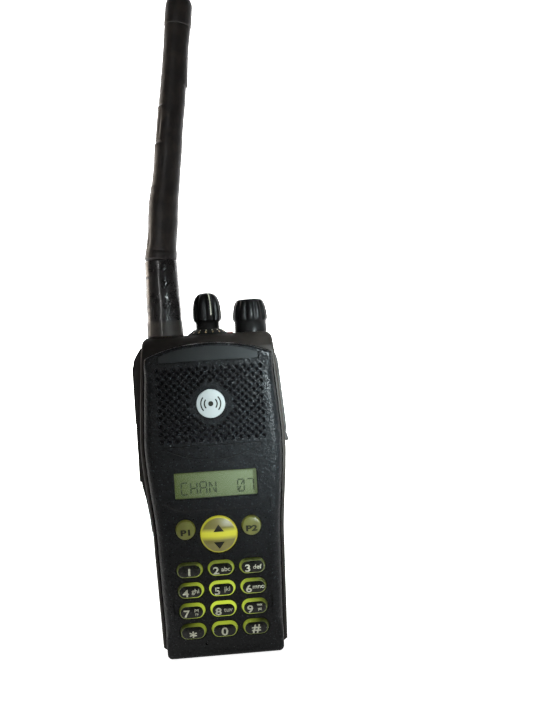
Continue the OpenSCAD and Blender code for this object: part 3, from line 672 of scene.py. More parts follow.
def cover_y(x, z):
    """The front surface: flat, with the keypad's field a step further back."""
    return FRONT_Y + KEYPAD_DROP * smooth(0.5 + (field_line(x) - z) / (2 * STEP_W)) * \
        smooth((half_width(z) - RIM_W - SIDE_ROUND - abs(x) + 1.6) / 1.6) * smooth((z - 1.6) / 1.5)


def grille_centres():
    """Diagonal rows of sound holes, left out round the emblem."""
    for m in range(-13, 14):
        for n in range(-9, 10):
            if (m + n) % 2 == 0 and math.hypot(m, n) * GRILLE_STEP > size("round_emblem").x / 2 + 2.2:
                yield m * GRILLE_STEP, EMBLEM.z + n * GRILLE_STEP


def nameplate_outline(gap):
    half, low = 18.6 - gap, 110 + gap
    top = [(x, arch_z(x, 0.8 + gap)) for x in frange(half, -half, 28)]
    return [(x, low) for x in frange(-half, half, 20)] + top


def lower_field(gap=0.0):
    """Field under the grille: straight top, and a lower edge that curves up to two points."""
    half, top_z, low_z, r = 17.7, 79.2, 73.6, 36.3
    arc = [(x, low_z + gap + r - math.sqrt(r * r - x * x)) for x in frange(half - gap, gap - half, 30)]
    return [(x, top_z - gap) for x in frange(gap - half, half - gap, 24)] + arc


# Clearances of the cover's openings, and how deep its plates sit
KEY_GAP, BUTTON_GAP, ROCKER_GAP, EMBLEM_GAP = 0.8, 0.2, 0.3, 0.12
PLATE_SEAT, EMBLEM_SEAT, FIELD_SINK = 0.5, 0.6, 0.1
WINDOW_W, WINDOW_H = 30.4, 9.7
MIC_HOLE_R = 0.4


def opening(build, outline, chamfer, depth, loops, slot=0):
    """Hole through the front with a small chamfer. outline(grow) gives its points."""
    rim = build.add([(x, cover_y(x, z), z) for x, z in outline(chamfer)])
    lip = build.add([(x, cover_y(x, z) + chamfer, z) for x, z in outline(0)])
    bottom = build.add([(x, depth, z) for x, z in outline(0)])
    build.bridge(rim, lip, slot)
    build.bridge(lip, bottom, slot)
    loops.append(rim)
    return bottom


def front_cover():
    build = Builder()
    rings = cover_rings(cover_edge())
    ids = build.loft(rings, cap_start=False, cap_end=False)
    loops = []
    for k in KEYS:
        c, s = centre("key_" + k), size("key_" + k)
        opening(build, lambda g, c=c, s=s: stadium(c.x, c.z, s.x - KEY_GAP + 2 * g, s.z - KEY_GAP + 2 * g),
                0.2, PLATE_BACK_Y, loops)
    for node in ("p1_button", "p2_button"):
        c = centre(node)
        opening(build, lambda g, c=c: circle(c.x, c.z, BUTTON_R + BUTTON_GAP + g, 40), 0.2, PLATE_BACK_Y,
                loops)
    opening(build, lambda g: circle(ROCKER.x, ROCKER.z, ROCKER_R + ROCKER_GAP + g, 64), 0.25, PLATE_BACK_Y,
            loops)
    opening(build, lambda g: round_rect(0, WINDOW.z, WINDOW_W + 2 * g, WINDOW_H + 2 * g, 0.5 + g), 0.3,
            PLATE_BACK_Y, loops)
    mic = centre("microphone")
    opening(build, lambda g: circle(mic.x, mic.z, MIC_HOLE_R + g, 16), 0.05, PLATE_BACK_Y, loops)
    for x, z in grille_centres():
        opening(build, lambda g, x=x, z=z: circle(x, z, GRILLE_HOLE_R + g, 16), GRILLE_DIMPLE,
                PLATE_BACK_Y, loops)
    # The nameplate's recess walls and the lower field's groove take the near-black slot: painted shade in
    # the grooves.
    plate = opening(build, lambda g: nameplate_outline(-g), 0.08, FRONT_Y + PLATE_SEAT, loops, 1)
    build.fill(plate, [], [], lambda x, z: FRONT_Y + PLATE_SEAT)
    groove = opening(build, lambda g: lower_field(-g), 0.08, FRONT_Y + PLATE_SEAT, loops, 1)
    inner = build.add(at_y(lower_field(GROOVE_W), FRONT_Y + PLATE_SEAT))
    lip = build.add(at_y(lower_field(GROOVE_W + 0.05), FRONT_Y + FIELD_SINK))
    build.bridge(groove, inner, 1)
    build.bridge(inner, lip, 1)
    build.fill(lip, [], [], lambda x, z: FRONT_Y + FIELD_SINK)
    seat = opening(build, lambda g: circle(0, EMBLEM.z, size("round_emblem").x / 2 + EMBLEM_GAP + g, 64),
                   0.1, FRONT_Y + EMBLEM_SEAT, loops)
    build.face(seat)
    build.fill(ids[-1], loops, cover_grid(), cover_y)
    inner_wall(build, rings)
    piece("front_cover_shell", build, "radio", ["cover_plastic", "groove_black"],
          "front_cover", 28)


def cover_grid():
    """Extra points for the front's skin, close together where the surface steps."""
    points = []
    for z in frange(3, 113, 74):
        for x in frange(-21, 21, 28):
            if abs(z - field_line(x)) > STEP_W + 0.4:
                points.append((x, z))
    for x in frange(-21.5, 21.5, 60):
        for offset in frange(-STEP_W, STEP_W, 8):
            points.append((x, field_line(x) + offset))
    points = [(x, z) for x, z in points if abs(x) < half_width(z) - RIM_W - SIDE_ROUND - 0.3
              and z < arch_z(x, END_ROUND + 0.3)]
    return [p for p in points if not on_opening(p)]


def on_opening(p):
    """True inside or close to an opening, where the skin needs no extra point."""
    x, z = p
    for k in KEYS:
        c = centre("key_" + k)
        if abs(x - c.x) < 5.4 and abs(z - c.z) < 3.5:
            return True
    round_places = [(centre("p1_button"), BUTTON_R + 0.7), (centre("p2_button"), BUTTON_R + 0.7),
                    (ROCKER, ROCKER_R + 0.9), (EMBLEM, 5.8)]
    if any(math.hypot(x - c.x, z - c.z) < r for c, r in round_places):
        return True
    in_grille = abs(x) < 20.6 and abs(z - EMBLEM.z) < 14.2
    in_window = abs(x) < 15.8 and abs(z - WINDOW.z) < 5.6
    in_plate = abs(x) < 19.2 and 109.4 < z
    in_field = abs(x) < 18.3 and 73 < z < 79.8
    return in_grille or in_window or in_plate or in_field


def inner_wall(build, rings):
    """Closes the shell's open back with a lip and an inside wall."""
    outer = rings[0]
    inner = [(x * 0.93, PARTING_Y, mix(z, 60, 0.035)) for x, _, z in outer]
    deep = [(x, PLATE_BACK_Y, z) for x, _, z in inner]
    a, b, c = build.add(outer), build.add(inner), build.add(deep)
    build.bridge(a, b)
    build.bridge(b, c)


# ---------- main housing ----------
DECK_FRONT = [(112.5, 0), (115, 0.9), (117.5, 3), (119, 4.9), (119.7, 6.2)]
CHAMFER = [(0, 4.5), (2.6, 1.6), (3.8, 0)]   # how far the base's corners are cut in, by height
SHOULDER_R = 2.4                             # rounding of the two top corners
BLOCK_LOW_Z = 91.6                           # underside of the deck's back block
LATCH_X, CONTACT_PITCH, SCREW_X = 13, 9, 15  # places of the latch's slots, contacts and screws


def section(w, y0, y1, rf, rb, z, n=8):
    """Ring of a rounded rectangle at height z, with front corner radius rf and back radius rb."""
    ring = []
    for cx, cy, r, start in ((w - rf, y0 + rf, rf, -90), (w - rb, y1 - rb, rb, 0),
                             (-w + rb, y1 - rb, rb, 90), (-w + rf, y0 + rf, rf, 180)):
        for i in range(n + 1):
            a = math.radians(start + 90 * i / n)
            ring.append((cx + r * math.cos(a), cy + r * math.sin(a), z))
    return ring


def housing_front(z):
    return RIM_Y + lookup(DECK_FRONT, z)


def housing_levels():
    low = [0, 0.15, 0.4, 0.8, 1.4, 2.0, 2.6, 2.9, 3.2, 3.5, 3.8, 4.2]
    return low + frange(6, 112, 60) + frange(112.5, 119.2, 14) + [119.4, 119.6, 119.75, 119.87, 119.95, 120]


def main_housing():
    build = Builder()
    rings = []
    for z in housing_levels():
        edge = corner_in(BODY_H - z, 0.6)
        inset = lookup(CHAMFER, z) + corner_in(BODY_H - z, SHOULDER_R)
        rings.append(section(half_width(z) - inset, housing_front(z) + edge + corner_in(z, 0.5), BACK_Y,
                             1.2, 2, z))
    build.loft(rings)
    body = piece("housing_shell", build, "radio", ["housing_plastic"],
                 "main_housing", 30)
    back = high_corner("main_housing").y
    rings = []
    upper_levels = [118.4, 118.8, 119.2, 119.5, 119.75, 119.9, BODY_H]
    for z in [BLOCK_LOW_Z, 91.75, 92] + frange(93, 118, 26) + upper_levels:
        inset = corner_in(BODY_H - z, 1.6) + corner_in(z - BLOCK_LOW_Z, 0.4)
        side = max(0.8 + inset, corner_in(BODY_H - z, SHOULDER_R) + 0.3)
        rings.append(section(half_width(z) - side, -6, back - inset, 1, 5, z, 12))
    block = Builder()
    block.loft(rings)
    boolean(body, "UNION", block, "deck_block")

    cut = Builder()
    edge = [(x, z) for x, z, _ in cover_edge()]
    recess = [(x + math.copysign(GROOVE_W, x), z + (GROOVE_W if z > 60 else -1.5)) for x, z in edge]
    cut.loft([at_y(recess, RIM_Y - 3), at_y(recess, PARTING_Y)])
    cut.loft([at_y([(x * 0.95, mix(z, 60, 0.03)) for x, z in edge], PARTING_Y - 0.5),
              at_y([(x * 0.95, mix(z, 60, 0.03)) for x, z in edge], -12.2)])
    for centre_of, r in ((ANTENNA, 4.6), (CHANNEL, 4.2), (VOLUME, 4.2)):
        cut.lathe((centre_of.x, centre_of.y), [(r, 117), (r, 121)], steps=48)
    light = centre("status_light")
    cut.lathe((light.x, light.y), [(1.3, 117), (1.3, 121)], steps=32)
    for node in ("ptt_button", "side_button_upper", "side_button_lower"):
        low, high = low_corner(node), high_corner(node)
        cut.loft(box_points((-30, low.y + 0.7, low.z + 0.7), (-21.5, high.y - 0.7, high.z - 0.7)))
    cut.loft(box_points((24.95, -9.4, 84), (30, -0.8, 108.4)))
    for x in (-LATCH_X, LATCH_X):
        cut.loft(box_points((x - 3.3, 5.4, 90), (x + 3.3, 20, 94.2)))
    for x in (-CONTACT_PITCH, 0, CONTACT_PITCH):
        cut.loft(box_points((x - 2.2, -0.4, 10.8), (x + 2.2, 3, 15.2)))
    for x in (-SCREW_X, SCREW_X):
        cut.lathe((x, -4), [(2.6, -1), (2.6, 1.1)], steps=40)
    boolean(body, "DIFFERENCE", cut, "housing_cuts")
    tidy_mesh(body.data, 30)


# ---------- plate, emblem, display ----------
def nameplate():
    build = Builder()
    y = FRONT_Y + 0.1
    rings = [at_y(nameplate_outline(GROOVE_W), y + 0.4), at_y(nameplate_outline(GROOVE_W), y + 0.1),
             at_y(nameplate_outline(GROOVE_W + 0.1), y)]
    build.loft(rings)
    piece("name_plate_blank", build, "radio", ["nameplate"], "nameplate", 25)


def emblem_y(x, z):
    """Front of the emblem: a shallow dome."""
    r = math.hypot(x - EMBLEM.x, z - EMBLEM.z)
    return low_corner("round_emblem").y + 0.25 * (r / (size("round_emblem").x / 2)) ** 2


def round_emblem():
    """Silver disc with a generic sign: a dot between two pairs of arcs."""
    build = Builder()
    r = size("round_emblem").x / 2
    back = high_corner("round_emblem").y
    rings = [at_y(circle(0, EMBLEM.z, r, 64), back), at_y(circle(0, EMBLEM.z, r, 64), FRONT_Y + 0.05)]
    for share in (0.985, 0.95, 0.85, 0.65, 0.4, 0.2):
        rings.append([(x, emblem_y(x, z), z) for x, z in circle(0, EMBLEM.z, r * share, 64)])
    build.loft(rings)
    dot = build.add([(x, emblem_y(x, z) - 0.02, z) for x, z in circle(0, EMBLEM.z, 0.95, 32)])
    build.face(dot, 1)
    for side in (0, math.pi):
        for radius, width in ((2.1, 0.5), (3.4, 0.5)):
            angles = [side + math.radians(a) for a in frange(-42, 42, 16)]
            inner = build.add([sign_point(radius, a) for a in angles])
            outer = build.add([sign_point(radius + width, a) for a in angles])
            build.bridge(inner, outer, 1, closed=False)
    piece("emblem_disc", build, "radio", ["emblem_metal", "dark_print"], "round_emblem")


def sign_point(radius, a):
    x, z = radius * math.cos(a), EMBLEM.z + radius * math.sin(a)
    return (x, emblem_y(x, z) - 0.02, z)


SEGMENTS = {
    "a": ((0.08, 1), (0.92, 1)), "b": ((1, 0.96), (1, 0.54)), "c": ((1, 0.46), (1, 0.04)),
    "d": ((0.08, 0), (0.92, 0)), "e": ((0, 0.46), (0, 0.04)), "f": ((0, 0.96), (0, 0.54)),
    "g": ((0.1, 0.5), (0.9, 0.5)), "h": ((0.1, 0.9), (0.46, 0.56)), "j": ((0.9, 0.9), (0.54, 0.56)),
    "k": ((0.46, 0.44), (0.1, 0.1)), "m": ((0.54, 0.44), (0.9, 0.1)),
}
LETTERS = {"C": "adef", "H": "bcefg", "A": "abcefg", "N": "bcefhm", "0": "abcdefjk", "7": "abc", " ": ""}


def display():
    """Panel whose glow is painted light, with a channel number in straight segments, and the clear window
    over it.
    """
    low, high = low_corner("display_panel"), high_corner("display_panel")
    build = Builder()
    build.loft([at_y(round_rect(0, WINDOW.z, 34.4, 13.4, 0.4), high.y),
                at_y(round_rect(0, WINDOW.z, 34.4, 13.4, 0.4), low.y + 0.1),
                at_y(round_rect(0, WINDOW.z, 34.2, 13.2, 0.3), low.y)])
    letter_h, letter_w, pitch, stroke = 4.4, 2.35, 3.5, 0.5
    left, bottom = -12.9, WINDOW.z - 3.7
    for i, letter in enumerate("CHAN  07"):
        for name in LETTERS[letter]:
            (x0, z0), (x1, z1) = SEGMENTS[name]
            p = Vector((left + i * pitch + x0 * letter_w, bottom + z0 * letter_h))
            q = Vector((left + i * pitch + x1 * letter_w, bottom + z1 * letter_h))
            side = (q - p).orthogonal().normalized() * stroke / 2
            ids = build.add([(v.x, low.y - 0.04, v.y) for v in (p + side, p - side, q - side, q + side)])
            build.face(ids, 1)
    piece("display_panel_painted_glow", build, "radio", ["display_glass", "display_segment"],
          "display_panel")

    glass = Builder()
    back, front = low.y - 0.15, low_corner("display_window").y
    glass.loft([at_y(round_rect(0, WINDOW.z, 30.1, 9.4, 0.4), back),
                at_y(round_rect(0, WINDOW.z, 30.1, 9.4, 0.4), front + 0.25),
                at_y(round_rect(0, WINDOW.z, 29.6, 8.9, 0.3), front)])
    piece("display_lens", glass, "radio", ["clear_window"], "display_window", 20)


# ---------- keys ----------
LEGENDS = {"1": ("1", ""), "2": ("2", "abc"), "3": ("3", "def"), "4": ("4", "ghi"), "5": ("5", "jkl"),
           "6": ("6", "mno"), "7": ("7", "pq\nrs"), "8": ("8", "tuv"), "9": ("9", "wx\nyz"),
           "star": ("*", ""), "0": ("0", ""), "hash": ("#", "")}
KEY_CROWN = 0.35
TWO_LINES_H, ONE_LINE_H = 1.1, 1.65    # height of a key's letters


def key_piece(name):
    """Translucent cap with a black crowned top and pale figures."""
    node = "key_" + name
    c, s = centre(node), size(node)
    w, h = s.x - 1.65, s.z - 1.8
    top = low_corner(node).y
    rim_y, edge_r = top + KEY_CROWN, 0.4

    def surface(x, z):
        across = max(0.0, abs(x - c.x) - (w - h) / 2) / (h / 2)
        up = (z - c.z) / (h / 2)
        return top + KEY_CROWN * min(1.0, across ** 2 + up ** 2)

    def front(x, z):
        return surface(x, z) - 0.05

    build = Builder()
    skirt_back = high_corner(node).y - 1.95
    skirt_front = high_corner(node).y - 2.55
    skirt = [(1.2, skirt_back), (1.2, skirt_front), (0, skirt_front)]
    rings = [at_y(stadium(c.x, c.z, w + g, h + g), y) for g, y in skirt]
    for a in frange(0, 90, 5):
        inset = edge_r * (1 - math.cos(math.radians(a)))
        rings.append(at_y(stadium(c.x, c.z, w - 2 * inset, h - 2 * inset),
                          rim_y + 0.1 + edge_r * (1 - math.sin(math.radians(a)))))
    ids = build.loft(rings, cap_end=False)
    dark_w, dark_h, dark_z = w - 0.8, h - 0.6, c.z + 0.1
    inner = []
    for share in (1.0, 0.8, 0.55, 0.25):
        outline = stadium(c.x, dark_z, dark_w * share, dark_h * share)
        inner.append(build.add([(x, front(x, z), z) for x, z in outline]))
    build.bridge(ids[-1], inner[0], 0)
    for a, b in zip(inner, inner[1:]):
        build.bridge(a, b, 1)
    build.face(inner[-1], 1)
    figure, letters = LEGENDS[name]
    if letters:
        add_text(build, figure, 2.7, c.x - 1.85, c.z - 0.35, front, 2, bold=0.08, widen=1.25)
        letter_h = TWO_LINES_H if "\n" in letters else ONE_LINE_H
        add_text(build, letters, letter_h, c.x + 1.75, c.z + 0.05, front, 2, bold=0.03, widen=1.1)
    else:
        figure_h = {"star": 3.6, "1": 2.7, "0": 2.9}.get(name, 3.1)
        drop = 0.5 if name == "star" else 0.3
        add_text(build, figure, figure_h, c.x, c.z - drop, front, 2, bold=0.09, widen=1.25)
    piece("key_cap_" + name, build, node, ["key_silicone", "key_black", "legend_white"],
          node, 50)


def round_button(node, label):
    """Low domed button with its name across the lower half."""
    c = centre(node)
    front = low_corner(node).y
    rim_drop, edge_r = 0.95, 0.35

    def surface(x, z):
        d = math.hypot(x - c.x, z - c.z) / BUTTON_R
        return front + (rim_drop - edge_r) * d * d + corner_in((1 - min(d, 1)) * BUTTON_R, edge_r)

    build = Builder()
    flange = FRONT_Y + 2.1
    skirt = ((BUTTON_R + 0.35, flange + 0.5), (BUTTON_R + 0.35, flange), (BUTTON_R, flange))
    rings = [at_y(circle(c.x, c.z, r, 48), y) for r, y in skirt]
    for share in (1.0, 0.985, 0.96, 0.93, 0.9, 0.84, 0.75, 0.6, 0.4, 0.2, 0.05):
        rings.append([(x, surface(x, z), z) for x, z in circle(c.x, c.z, BUTTON_R * share, 48)])
    build.loft(rings)
    add_text(build, label, 2.1, c.x, c.z - 0.75, surface, 1, bold=0.12, widen=1.45)
    piece(node + "_cap", build, node, ["button_silicone", "dark_print"], node)


def rocker():
    """Round domed rocker, flush at its edge, with a trough across it and two arrowheads."""
    front = low_corner("nav_rocker").y
    dome_drop, trough_depth, trough_half = 1.5, 0.6, 2.9

    def surface(x, z):
        dx, dz = x - ROCKER.x, z - ROCKER.z
        d = min(1.0, math.hypot(dx, dz) / ROCKER_R)
        trough = trough_depth * max(0.0, 1 - (dz / trough_half) ** 2) ** 1.3 * (1 - 0.6 * d ** 4)
        return front + 0.03 + dome_drop * d ** 2.4 + trough + corner_in((1 - d) * ROCKER_R, 0.2)

    build = Builder()
    back = FRONT_Y + 2.8
    skirt = ((ROCKER_R + 0.6, back + 0.4), (ROCKER_R + 0.6, back), (ROCKER_R, back))
    rings = [at_y(circle(0, ROCKER.z, r, 96), y) for r, y in skirt]
    for share in [1.0, 0.993, 0.985, 0.97, 0.945, 0.915, 0.88, 0.84] + frange(0.79, 0.03, 18):
        rings.append([(x, surface(x, z), z) for x, z in circle(0, ROCKER.z, ROCKER_R * share, 96)])
    build.loft(rings)
    for base, tip in ((1.25, 3.95), (-2.45, -5.1)):
        rows, half, previous = 6, 1.95, None
        for i in range(rows + 1):
            z = ROCKER.z + mix(base, tip, i / rows)
            w = half * (1 - i / rows) + 0.02
            row = build.add([(x, surface(x, z) - 0.04, z) for x in frange(-w, w, 6)])
            if previous:
                build.bridge(previous, row, 1, closed=False)
            previous = row
    piece("rocker_cap", build, "nav_rocker", ["rocker_silicone", "dark_print"],
          "nav_rocker")


# ---------- deck controls ----------
POINTER = math.radians(-90 + 17)       # where the channel knob's pointer stands at rest


def fluted(depth, count, z0, z1, phase=0.0):
    """Radius rule for a grip with rounded flutes between two heights."""
    def rule(r, z, a):
        share = smooth((z - z0) / 0.8) * smooth((z1 - z) / 1.6)
        return r - depth * share * (0.5 + 0.5 * math.cos(count * (a + phase))) ** 1.6
    return rule


def channel_knob():
    """Bullet-shaped knob with nine flutes and a white pointer on one of its ribs."""
    x, y = CHANNEL.x, CHANNEL.y
    base, top = BODY_H + 0.03, high_corner("channel_knob").z
    profile = [(0.1, base), (4.45, base), (4.6, base + 0.15), (4.55, 124.5), (4.75, 124.8), (5.3, 125.3),
               (5.5, 125.8), (5.6, 126.6), (5.6, 128.2), (5.55, 129.7), (5.38, 131.2), (5.05, 132.8),
               (4.6, 134), (3.95, 135), (3.1, 135.7), (2.0, top - 0.22), (1.0, top - 0.05), (0.1, top)]
    build = Builder()
    rule = fluted(0.6, 9, 125.0, 135.8, -POINTER + math.pi / 9)
    build.lathe((x, y), profile, steps=180, radius_at=rule)
    left, right = [], []
    for z in frange(127.3, top - 0.01, 30):
        r = lookup([(zz, rr) for rr, zz in profile[4:]], z)
        for side, store in ((-1, left), (1, right)):
            across = Vector((-math.sin(POINTER), math.cos(POINTER))) * side * 0.2
            out = Vector((math.cos(POINTER), math.sin(POINTER))) * (r + 0.03)
            store.append((x + out.x + across.x, y + out.y + across.y, z + 0.02))
    a_ids, b_ids = build.add(left), build.add(right)
    build.bridge(a_ids, b_ids, 1, closed=False)
    piece("channel_knob_grip", build, "channel_knob", ["control_plastic", "legend_white"],
          "channel_knob", 40)


def volume_knob():
    """Flat-topped knob with twelve flutes."""
    x, y = VOLUME.x, VOLUME.y
    base, top = BODY_H + 0.03, high_corner("volume_knob").z
    profile = [(0.1, base), (6.15, base), (6.3, base + 0.15), (6.2, 124.0), (6.35, 124.3), (6.65, 124.7),
               (6.75, 125.3), (6.73, 126.3), (6.6, 127.6), (6.4, 129), (6.05, 130.4), (5.65, 131.5),
               (5.25, 132.2),
               (4.75, top - 0.2), (4.25, top - 0.02), (3.9, top), (3.6, top - 0.12), (1.5, top - 0.15),
               (0.1, top - 0.15)]
    build = Builder()
    build.lathe((x, y), profile, steps=192, radius_at=fluted(0.5, 12, 124.4, 132.6, math.pi / 12))
    piece("volume_knob_grip", build, "volume_knob", ["control_plastic"],
          "volume_knob", 40)


def channel_dial():
    """Low cone on the deck with a dot and a figure for each channel."""
    x, y = centre("channel_dial").x, centre("channel_dial").y
    build = Builder()
    low, high = BODY_H, BODY_H + 2.1
    outer, inner, bore = 7.9, 5.3, 4.9
    build.lathe((x, y), [(bore, low), (outer, low), (outer, low + 0.15), (outer - 0.15, low + 0.3),
                         (inner + 0.1, high - 0.05), (inner - 0.05, high), (bore, high)], steps=96)
    slope = math.atan2(high - low - 0.35, outer - 0.15 - inner)

    def on_cone(a, across, up):
        """Point on the cone: across along the rim, up along the slope from its middle."""
        r = (outer + inner) / 2 - up * math.cos(slope)
        z = mix(high, low + 0.3, (r - inner) / (outer - 0.15 - inner)) + 0.05
        b = a + across / r
        return (x + r * math.cos(b), y + r * math.sin(b), z)

    channels, dot_r = 16, 0.27
    for i in range(channels):
        a = POINTER + TAU / channels * (i - 6)
        turn = frange(0, TAU, 12)[:-1]
        dots = build.add([on_cone(a, dot_r * math.cos(t), 0.85 + dot_r * math.sin(t)) for t in turn])
        build.face(dots, 1)
        points, faces = text_shapes(str(i + 1), 1.0, 0.03)
        ids = build.add([on_cone(a, px, pz - 0.4) for px, pz in points])
        for f in faces:
            build.face([ids[k] for k in f], 2)
    piece("channel_dial_ring", build, "radio", ["groove_black", "legend_white", "dial_tan"],
          "channel_dial")


# ---------- antenna ----------
# The whip's centre line: (height above the deck, offset to the right)
WHIP = [(0, 0.1), (30, 0.1), (35, 0.8), (42, 1.7), (50, 2.4), (59, 4), (68, 5.25), (79, 6.7), (90, 8.3),
        (101, 9.8), (111, 11.1), (119, 12.2), (130, 13.6)]
# Its outer radius, with the swells and thin places of the skin
WHIP_R = [(28.6, 5.5), (29.5, 5.7), (30, 6.2), (33, 6.0), (40, 5.8), (44, 5.85), (50, 5.9), (56, 5.55),
          (62, 5.4), (70, 5.4), (80, 5.25), (90, 5.15), (96, 5.1), (104, 5.1), (110, 5.05), (119, 5.1)]
SLEEVE_R = [(0, 7.2), (2.2, 7.05), (5.8, 6.9), (6.2, 6.8), (12, 6.73), (20, 6.55), (26, 6.4), (29.4, 6.35)]


def whip_offset(h):
    """Centre line of the whip, smoothed above the sleeve."""
    if h > 33:
        return sum(lookup(WHIP, h + d) for d in (-3, -1.5, 0, 1.5, 3)) / 5
    return lookup(WHIP, h)


def tube_ring(h, radius_of, steps):
    """Ring of the whip at height h above the deck, square to its centre line."""
    step = 0.5
    lean = math.atan2(whip_offset(h + step) - whip_offset(h - step), 2 * step)
    ring = []
    for i in range(steps):
        a = TAU * i / steps
        r = radius_of(h, a)
        across = r * math.cos(a)
        ring.append((ANTENNA.x + whip_offset(h) + across * math.cos(lean), ANTENNA.y + r * math.sin(a),
                     BODY_H + h - across * math.sin(lean)))
    return ring


def wrinkle(h, a, size_mm, seed):
    """Smooth noise on the tube's skin, the same on each run."""
    p = Vector((math.cos(a) * 5 / size_mm, math.sin(a) * 5 / size_mm, h / size_mm + seed))
    return noise.noise(p)


# Folds and creases of the whip's skin: (height, angle in degrees, reach along, reach round, depth in mm)
CREASES = [(88.2, 195, 0.35, 60, 0.38), (87.2, 205, 0.9, 45, -0.2), (74, 200, 0.4, 60, 0.5),
           (72.8, 210, 1.1, 45, -0.25), (80, 222, 5.0, 12, 0.25), (66, 250, 4.0, 8, 0.12),
           (45, 195, 3.5, 14, 0.25), (36, 215, 2.4, 12, 0.3), (41, 300, 3.0, 10, 0.12),
           (52.5, 240, 2.6, 10, 0.16), (33, 270, 0.45, 95, 0.25), (111, 280, 5.0, 9, 0.08),
           (62, 300, 6.0, 8, 0.08)]
# Ends of its layers: (height, side in degrees, reach round, step in mm, 1 above or -1 below)
LAPS = [(96.4, 10, 80, 0.5, 1), (57.5, 185, 70, 0.25, -1), (33.6, 0, 400, 0.12, -1)]


def bump_at(angle, middle, reach):
    """One at the middle angle, falling to nothing at its reach; all in degrees."""
    gap = abs((math.degrees(angle) - middle + 180) % 360 - 180)
    return smooth(1 - gap / reach)


def whip_radius(h, a):
    """The whip's skin at height h and angle a: long soft folds, creases and the ends of layers."""
    r = lookup(WHIP_R, h) - 0.1
    r += 0.10 * wrinkle(h * 0.6, a, 3.2, 1) + 0.22 * wrinkle(h * 0.8, a, 9, 2)
    for at, side, along, round_, depth in CREASES:
        if abs(h - at) < 4 * along:
            r -= depth * math.exp(-((h - at) / along) ** 2) * bump_at(a, side, round_)
    for at, side, reach, step, way in LAPS:
        past = way * (h - at)
        r += step * smooth(0.5 + past / 0.8) * bump_at(a, side, reach) * smooth(1 - past / 18)
    return r


def sleeve_radius(h, a):
    folds = 0.13 * wrinkle(h, a, 6, 3) + 0.05 * wrinkle(h, a, 2, 4)
    ring = 0.16 * math.exp(-((h - 23.3) / 0.5) ** 2) * bump_at(a, 200, 90)
    return lookup(SLEEVE_R, h) - 0.06 + folds * smooth((h - 3) / 4) + ring


def antenna():
    sleeve = Builder()
    levels = [0.05, 0.2, 0.5, 0.9] + frange(1.2, 28.9, 130) + [29.15, 29.35, 29.5]
    rings = [tube_ring(0.05, lambda h, a: 4.4, 96)]
    for h in levels:
        rim = corner_in(h - 0.05, 0.3) + 0.35 * smooth((h - 29.1) / 0.4)
        rings.append(tube_ring(h, lambda hh, a, rim=rim: sleeve_radius(hh, a) - rim, 96))
    sleeve.loft(rings)
    piece("antenna_foot_sleeve", sleeve, "antenna", ["heat_shrink"],
          "antenna_base_sleeve", 60)

    whip = Builder()
    rings = [tube_ring(h, whip_radius, 88) for h in frange(28.6, 118.9, 380)]
    whip.loft(rings)
    piece("antenna_taped_whip", whip, "antenna", ["antenna_rubber"], "antenna_whip", 60)

    tip = Builder()
    top_h = high_corner("antenna_tip_cap").z - BODY_H
    profile = [(118.6, 4.9), (118.8, 5.2), (119, 5.27), (121, 5.25), (124, 5.27), (top_h - 3.2, 5.2),
               (top_h - 2.2, 5.0), (top_h - 1.4, 4.55), (top_h - 0.7, 3.7), (top_h - 0.25, 2.6),
               (top_h - 0.08, 1.3), (top_h - 0.05, 0.3)]
    rings = [tube_ring(h, lambda hh, a, r=r: r + 0.06 * wrinkle(hh, a, 3, 8), 72) for h, r in profile]
    tip.loft(rings)
    piece("antenna_tip", tip, "antenna", ["antenna_rubber"], "antenna_tip_cap", 60)


# ---------- CAD nodes that stay ----------
def finish_cad_nodes():
    """Gives each CAD node that stays its own procedural material, and rounds the visible ones' edges."""
    slots = {p["node"]: p["material_slot"] for p in frame["record"]["subparts"]}
    for node, obj in frame["nodes"].items():
        for i in range(len(obj.material_slots)):
            obj.material_slots[i].material = materials[slots[node]]
    for node, width in (("side_button_frame", 0.35), ("ptt_button", 0.4), ("side_button_upper", 0.35),
                        ("side_button_lower", 0.35), ("jack_cover", 0.25), ("belt_clip", 0.35),
                        ("belt_clip_bracket", 0.3), ("battery_latch", 0.3)):
        bevel(frame["nodes"][node], width)


# ---------- stage ----------
CAMERA_AT = (5.5, -298.5, 116.2)
CAMERA_YAW, CAMERA_PITCH, CAMERA_ROLL = 3.53, -1.46, 3.47
CAMERA_LENS = 38.0
BEND_Y, BEND_R = 1200, 600             # the paper's sweep up into the wall, in mm


def make_camera():
    data = bpy.data.cameras.new("camera")
    data.lens, data.sensor_width = CAMERA_LENS, 36
    data.clip_start = 0.01
    cam = bpy.data.objects.new("camera", data)
    bpy.context.scene.collection.objects.link(cam)
    turn = (Matrix.Rotation(math.radians(-CAMERA_YAW), 4, "Z")
            @ Matrix.Rotation(math.radians(90 + CAMERA_PITCH), 4, "X")
            @ Matrix.Rotation(math.radians(-CAMERA_ROLL), 4, "Z"))
    cam.matrix_world = Matrix.Translation(Vector(CAMERA_AT) * MM) @ turn
    bpy.context.scene.camera = cam


def area_light(name, at, target, spans, power, color=(1, 1, 1), spread=180):
    data = bpy.data.lights.new(name, "AREA")
    data.shape = "RECTANGLE"
    data.energy, data.color = power, color
    data.size, data.size_y = spans
    data.spread = math.radians(spread)
    lamp = bpy.data.objects.new(name, data)
    bpy.context.scene.collection.objects.link(lamp)
    lamp.location = at
    lamp.rotation_euler = (Vector(target) - Vector(at)).to_track_quat("-Z", "Y").to_euler()


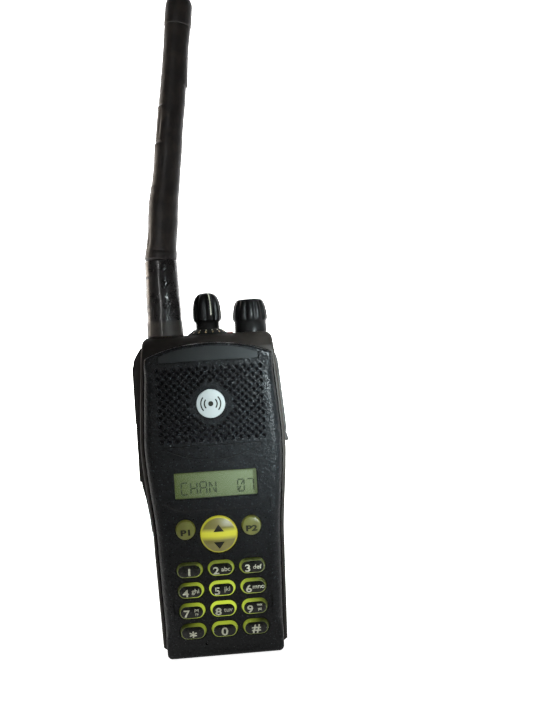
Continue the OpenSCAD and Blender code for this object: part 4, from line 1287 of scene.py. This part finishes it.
def make_world():
    """Pale light from above and behind, and hardly any from the front."""
    world = bpy.data.worlds.new("world")
    bpy.context.scene.world = world
    world.use_nodes = True
    tree = world.node_tree
    coords = tree.nodes.new("ShaderNodeTexCoord")
    dot = tree.nodes.new("ShaderNodeVectorMath")
    dot.operation = "DOT_PRODUCT"
    dot.inputs[1].default_value = Vector((0.25, 0.3, 0.92)).normalized()
    ramp = tree.nodes.new("ShaderNodeMapRange")
    for name, value in (("From Min", 0.0), ("From Max", 1.0), ("To Min", 0.025), ("To Max", 0.2)):
        ramp.inputs[name].default_value = value
    tree.links.new(coords.outputs["Generated"], dot.inputs[0])
    tree.links.new(dot.outputs["Value"], ramp.inputs["Value"])
    tree.links.new(ramp.outputs["Result"], tree.nodes["Background"].inputs["Strength"])
    tree.nodes["Background"].inputs["Color"].default_value = (1, 1, 1, 1)


def make_stage():
    make_world()
    area_light("key_light", (0.22, -0.42, 0.22), (0.05, -0.018, 0.09), (0.03, 0.04), 0.15,
               (0.85, 0.97, 1), 16)
    area_light("front_strip", (-0.16, -0.5, 0.2), (-0.01, 0, 0.14), (0.012, 0.26), 0.3)
    area_light("warm_side", (-0.5, 0.25, 0.3), (0, 0, 0.1), (0.3, 0.3), 1.0, (1, 0.84, 0.68))
    area_light("wall_wash", (0, 0.75, 1.9), (0, 1.8, 0.7), (2.0, 0.6), 60, spread=120)

    sweep = Builder()
    turns = [math.radians(a) for a in range(6, 91, 6)]
    bend = [(BEND_Y + BEND_R * math.sin(a), BEND_R - BEND_R * math.cos(a)) for a in turns]
    profile = [(-3000, 0), (BEND_Y, 0)] + bend + [(BEND_Y + BEND_R, 3000)]
    rows = [sweep.add([(x, y, z) for x in (-4000, 4000)]) for y, z in profile]
    for a, b in zip(rows, rows[1:]):
        sweep.bridge(a, b, closed=False)
    floor = mesh_object("floor", sweep)
    floor_mat = Nodes("floor_paper", (0.9, 0.9, 0.9), 0.7)
    # The floor glows evenly under and behind the radio; in front of it the glow is cut to a faint level,
    # painted shade on the floor.
    floor_mat.set_input(floor_mat.bsdf, "Emission Color", (1, 1, 1, 1))
    floor_glow_with_painted_shade = floor_mat.curve(floor_mat.part("Y"), -0.12, -0.07, 0.05, 0.95)
    floor_mat.set_input(floor_mat.bsdf, "Emission Strength", floor_glow_with_painted_shade)
    floor_mat.rough(floor_mat.curve(floor_mat.noise(40, 3), 0.3, 0.7, 0.65, 0.75))
    floor.data.materials.append(floor_mat.mat)
    bpy.context.scene.view_settings.view_transform = "Standard"


make_materials()
front_cover()
main_housing()
nameplate()
round_emblem()
display()
for key_name in KEYS:
    key_piece(key_name)
round_button("p1_button", "P1")
round_button("p2_button", "P2")
rocker()
channel_dial()
channel_knob()
volume_knob()
antenna()
finish_cad_nodes()
make_camera()
make_stage()
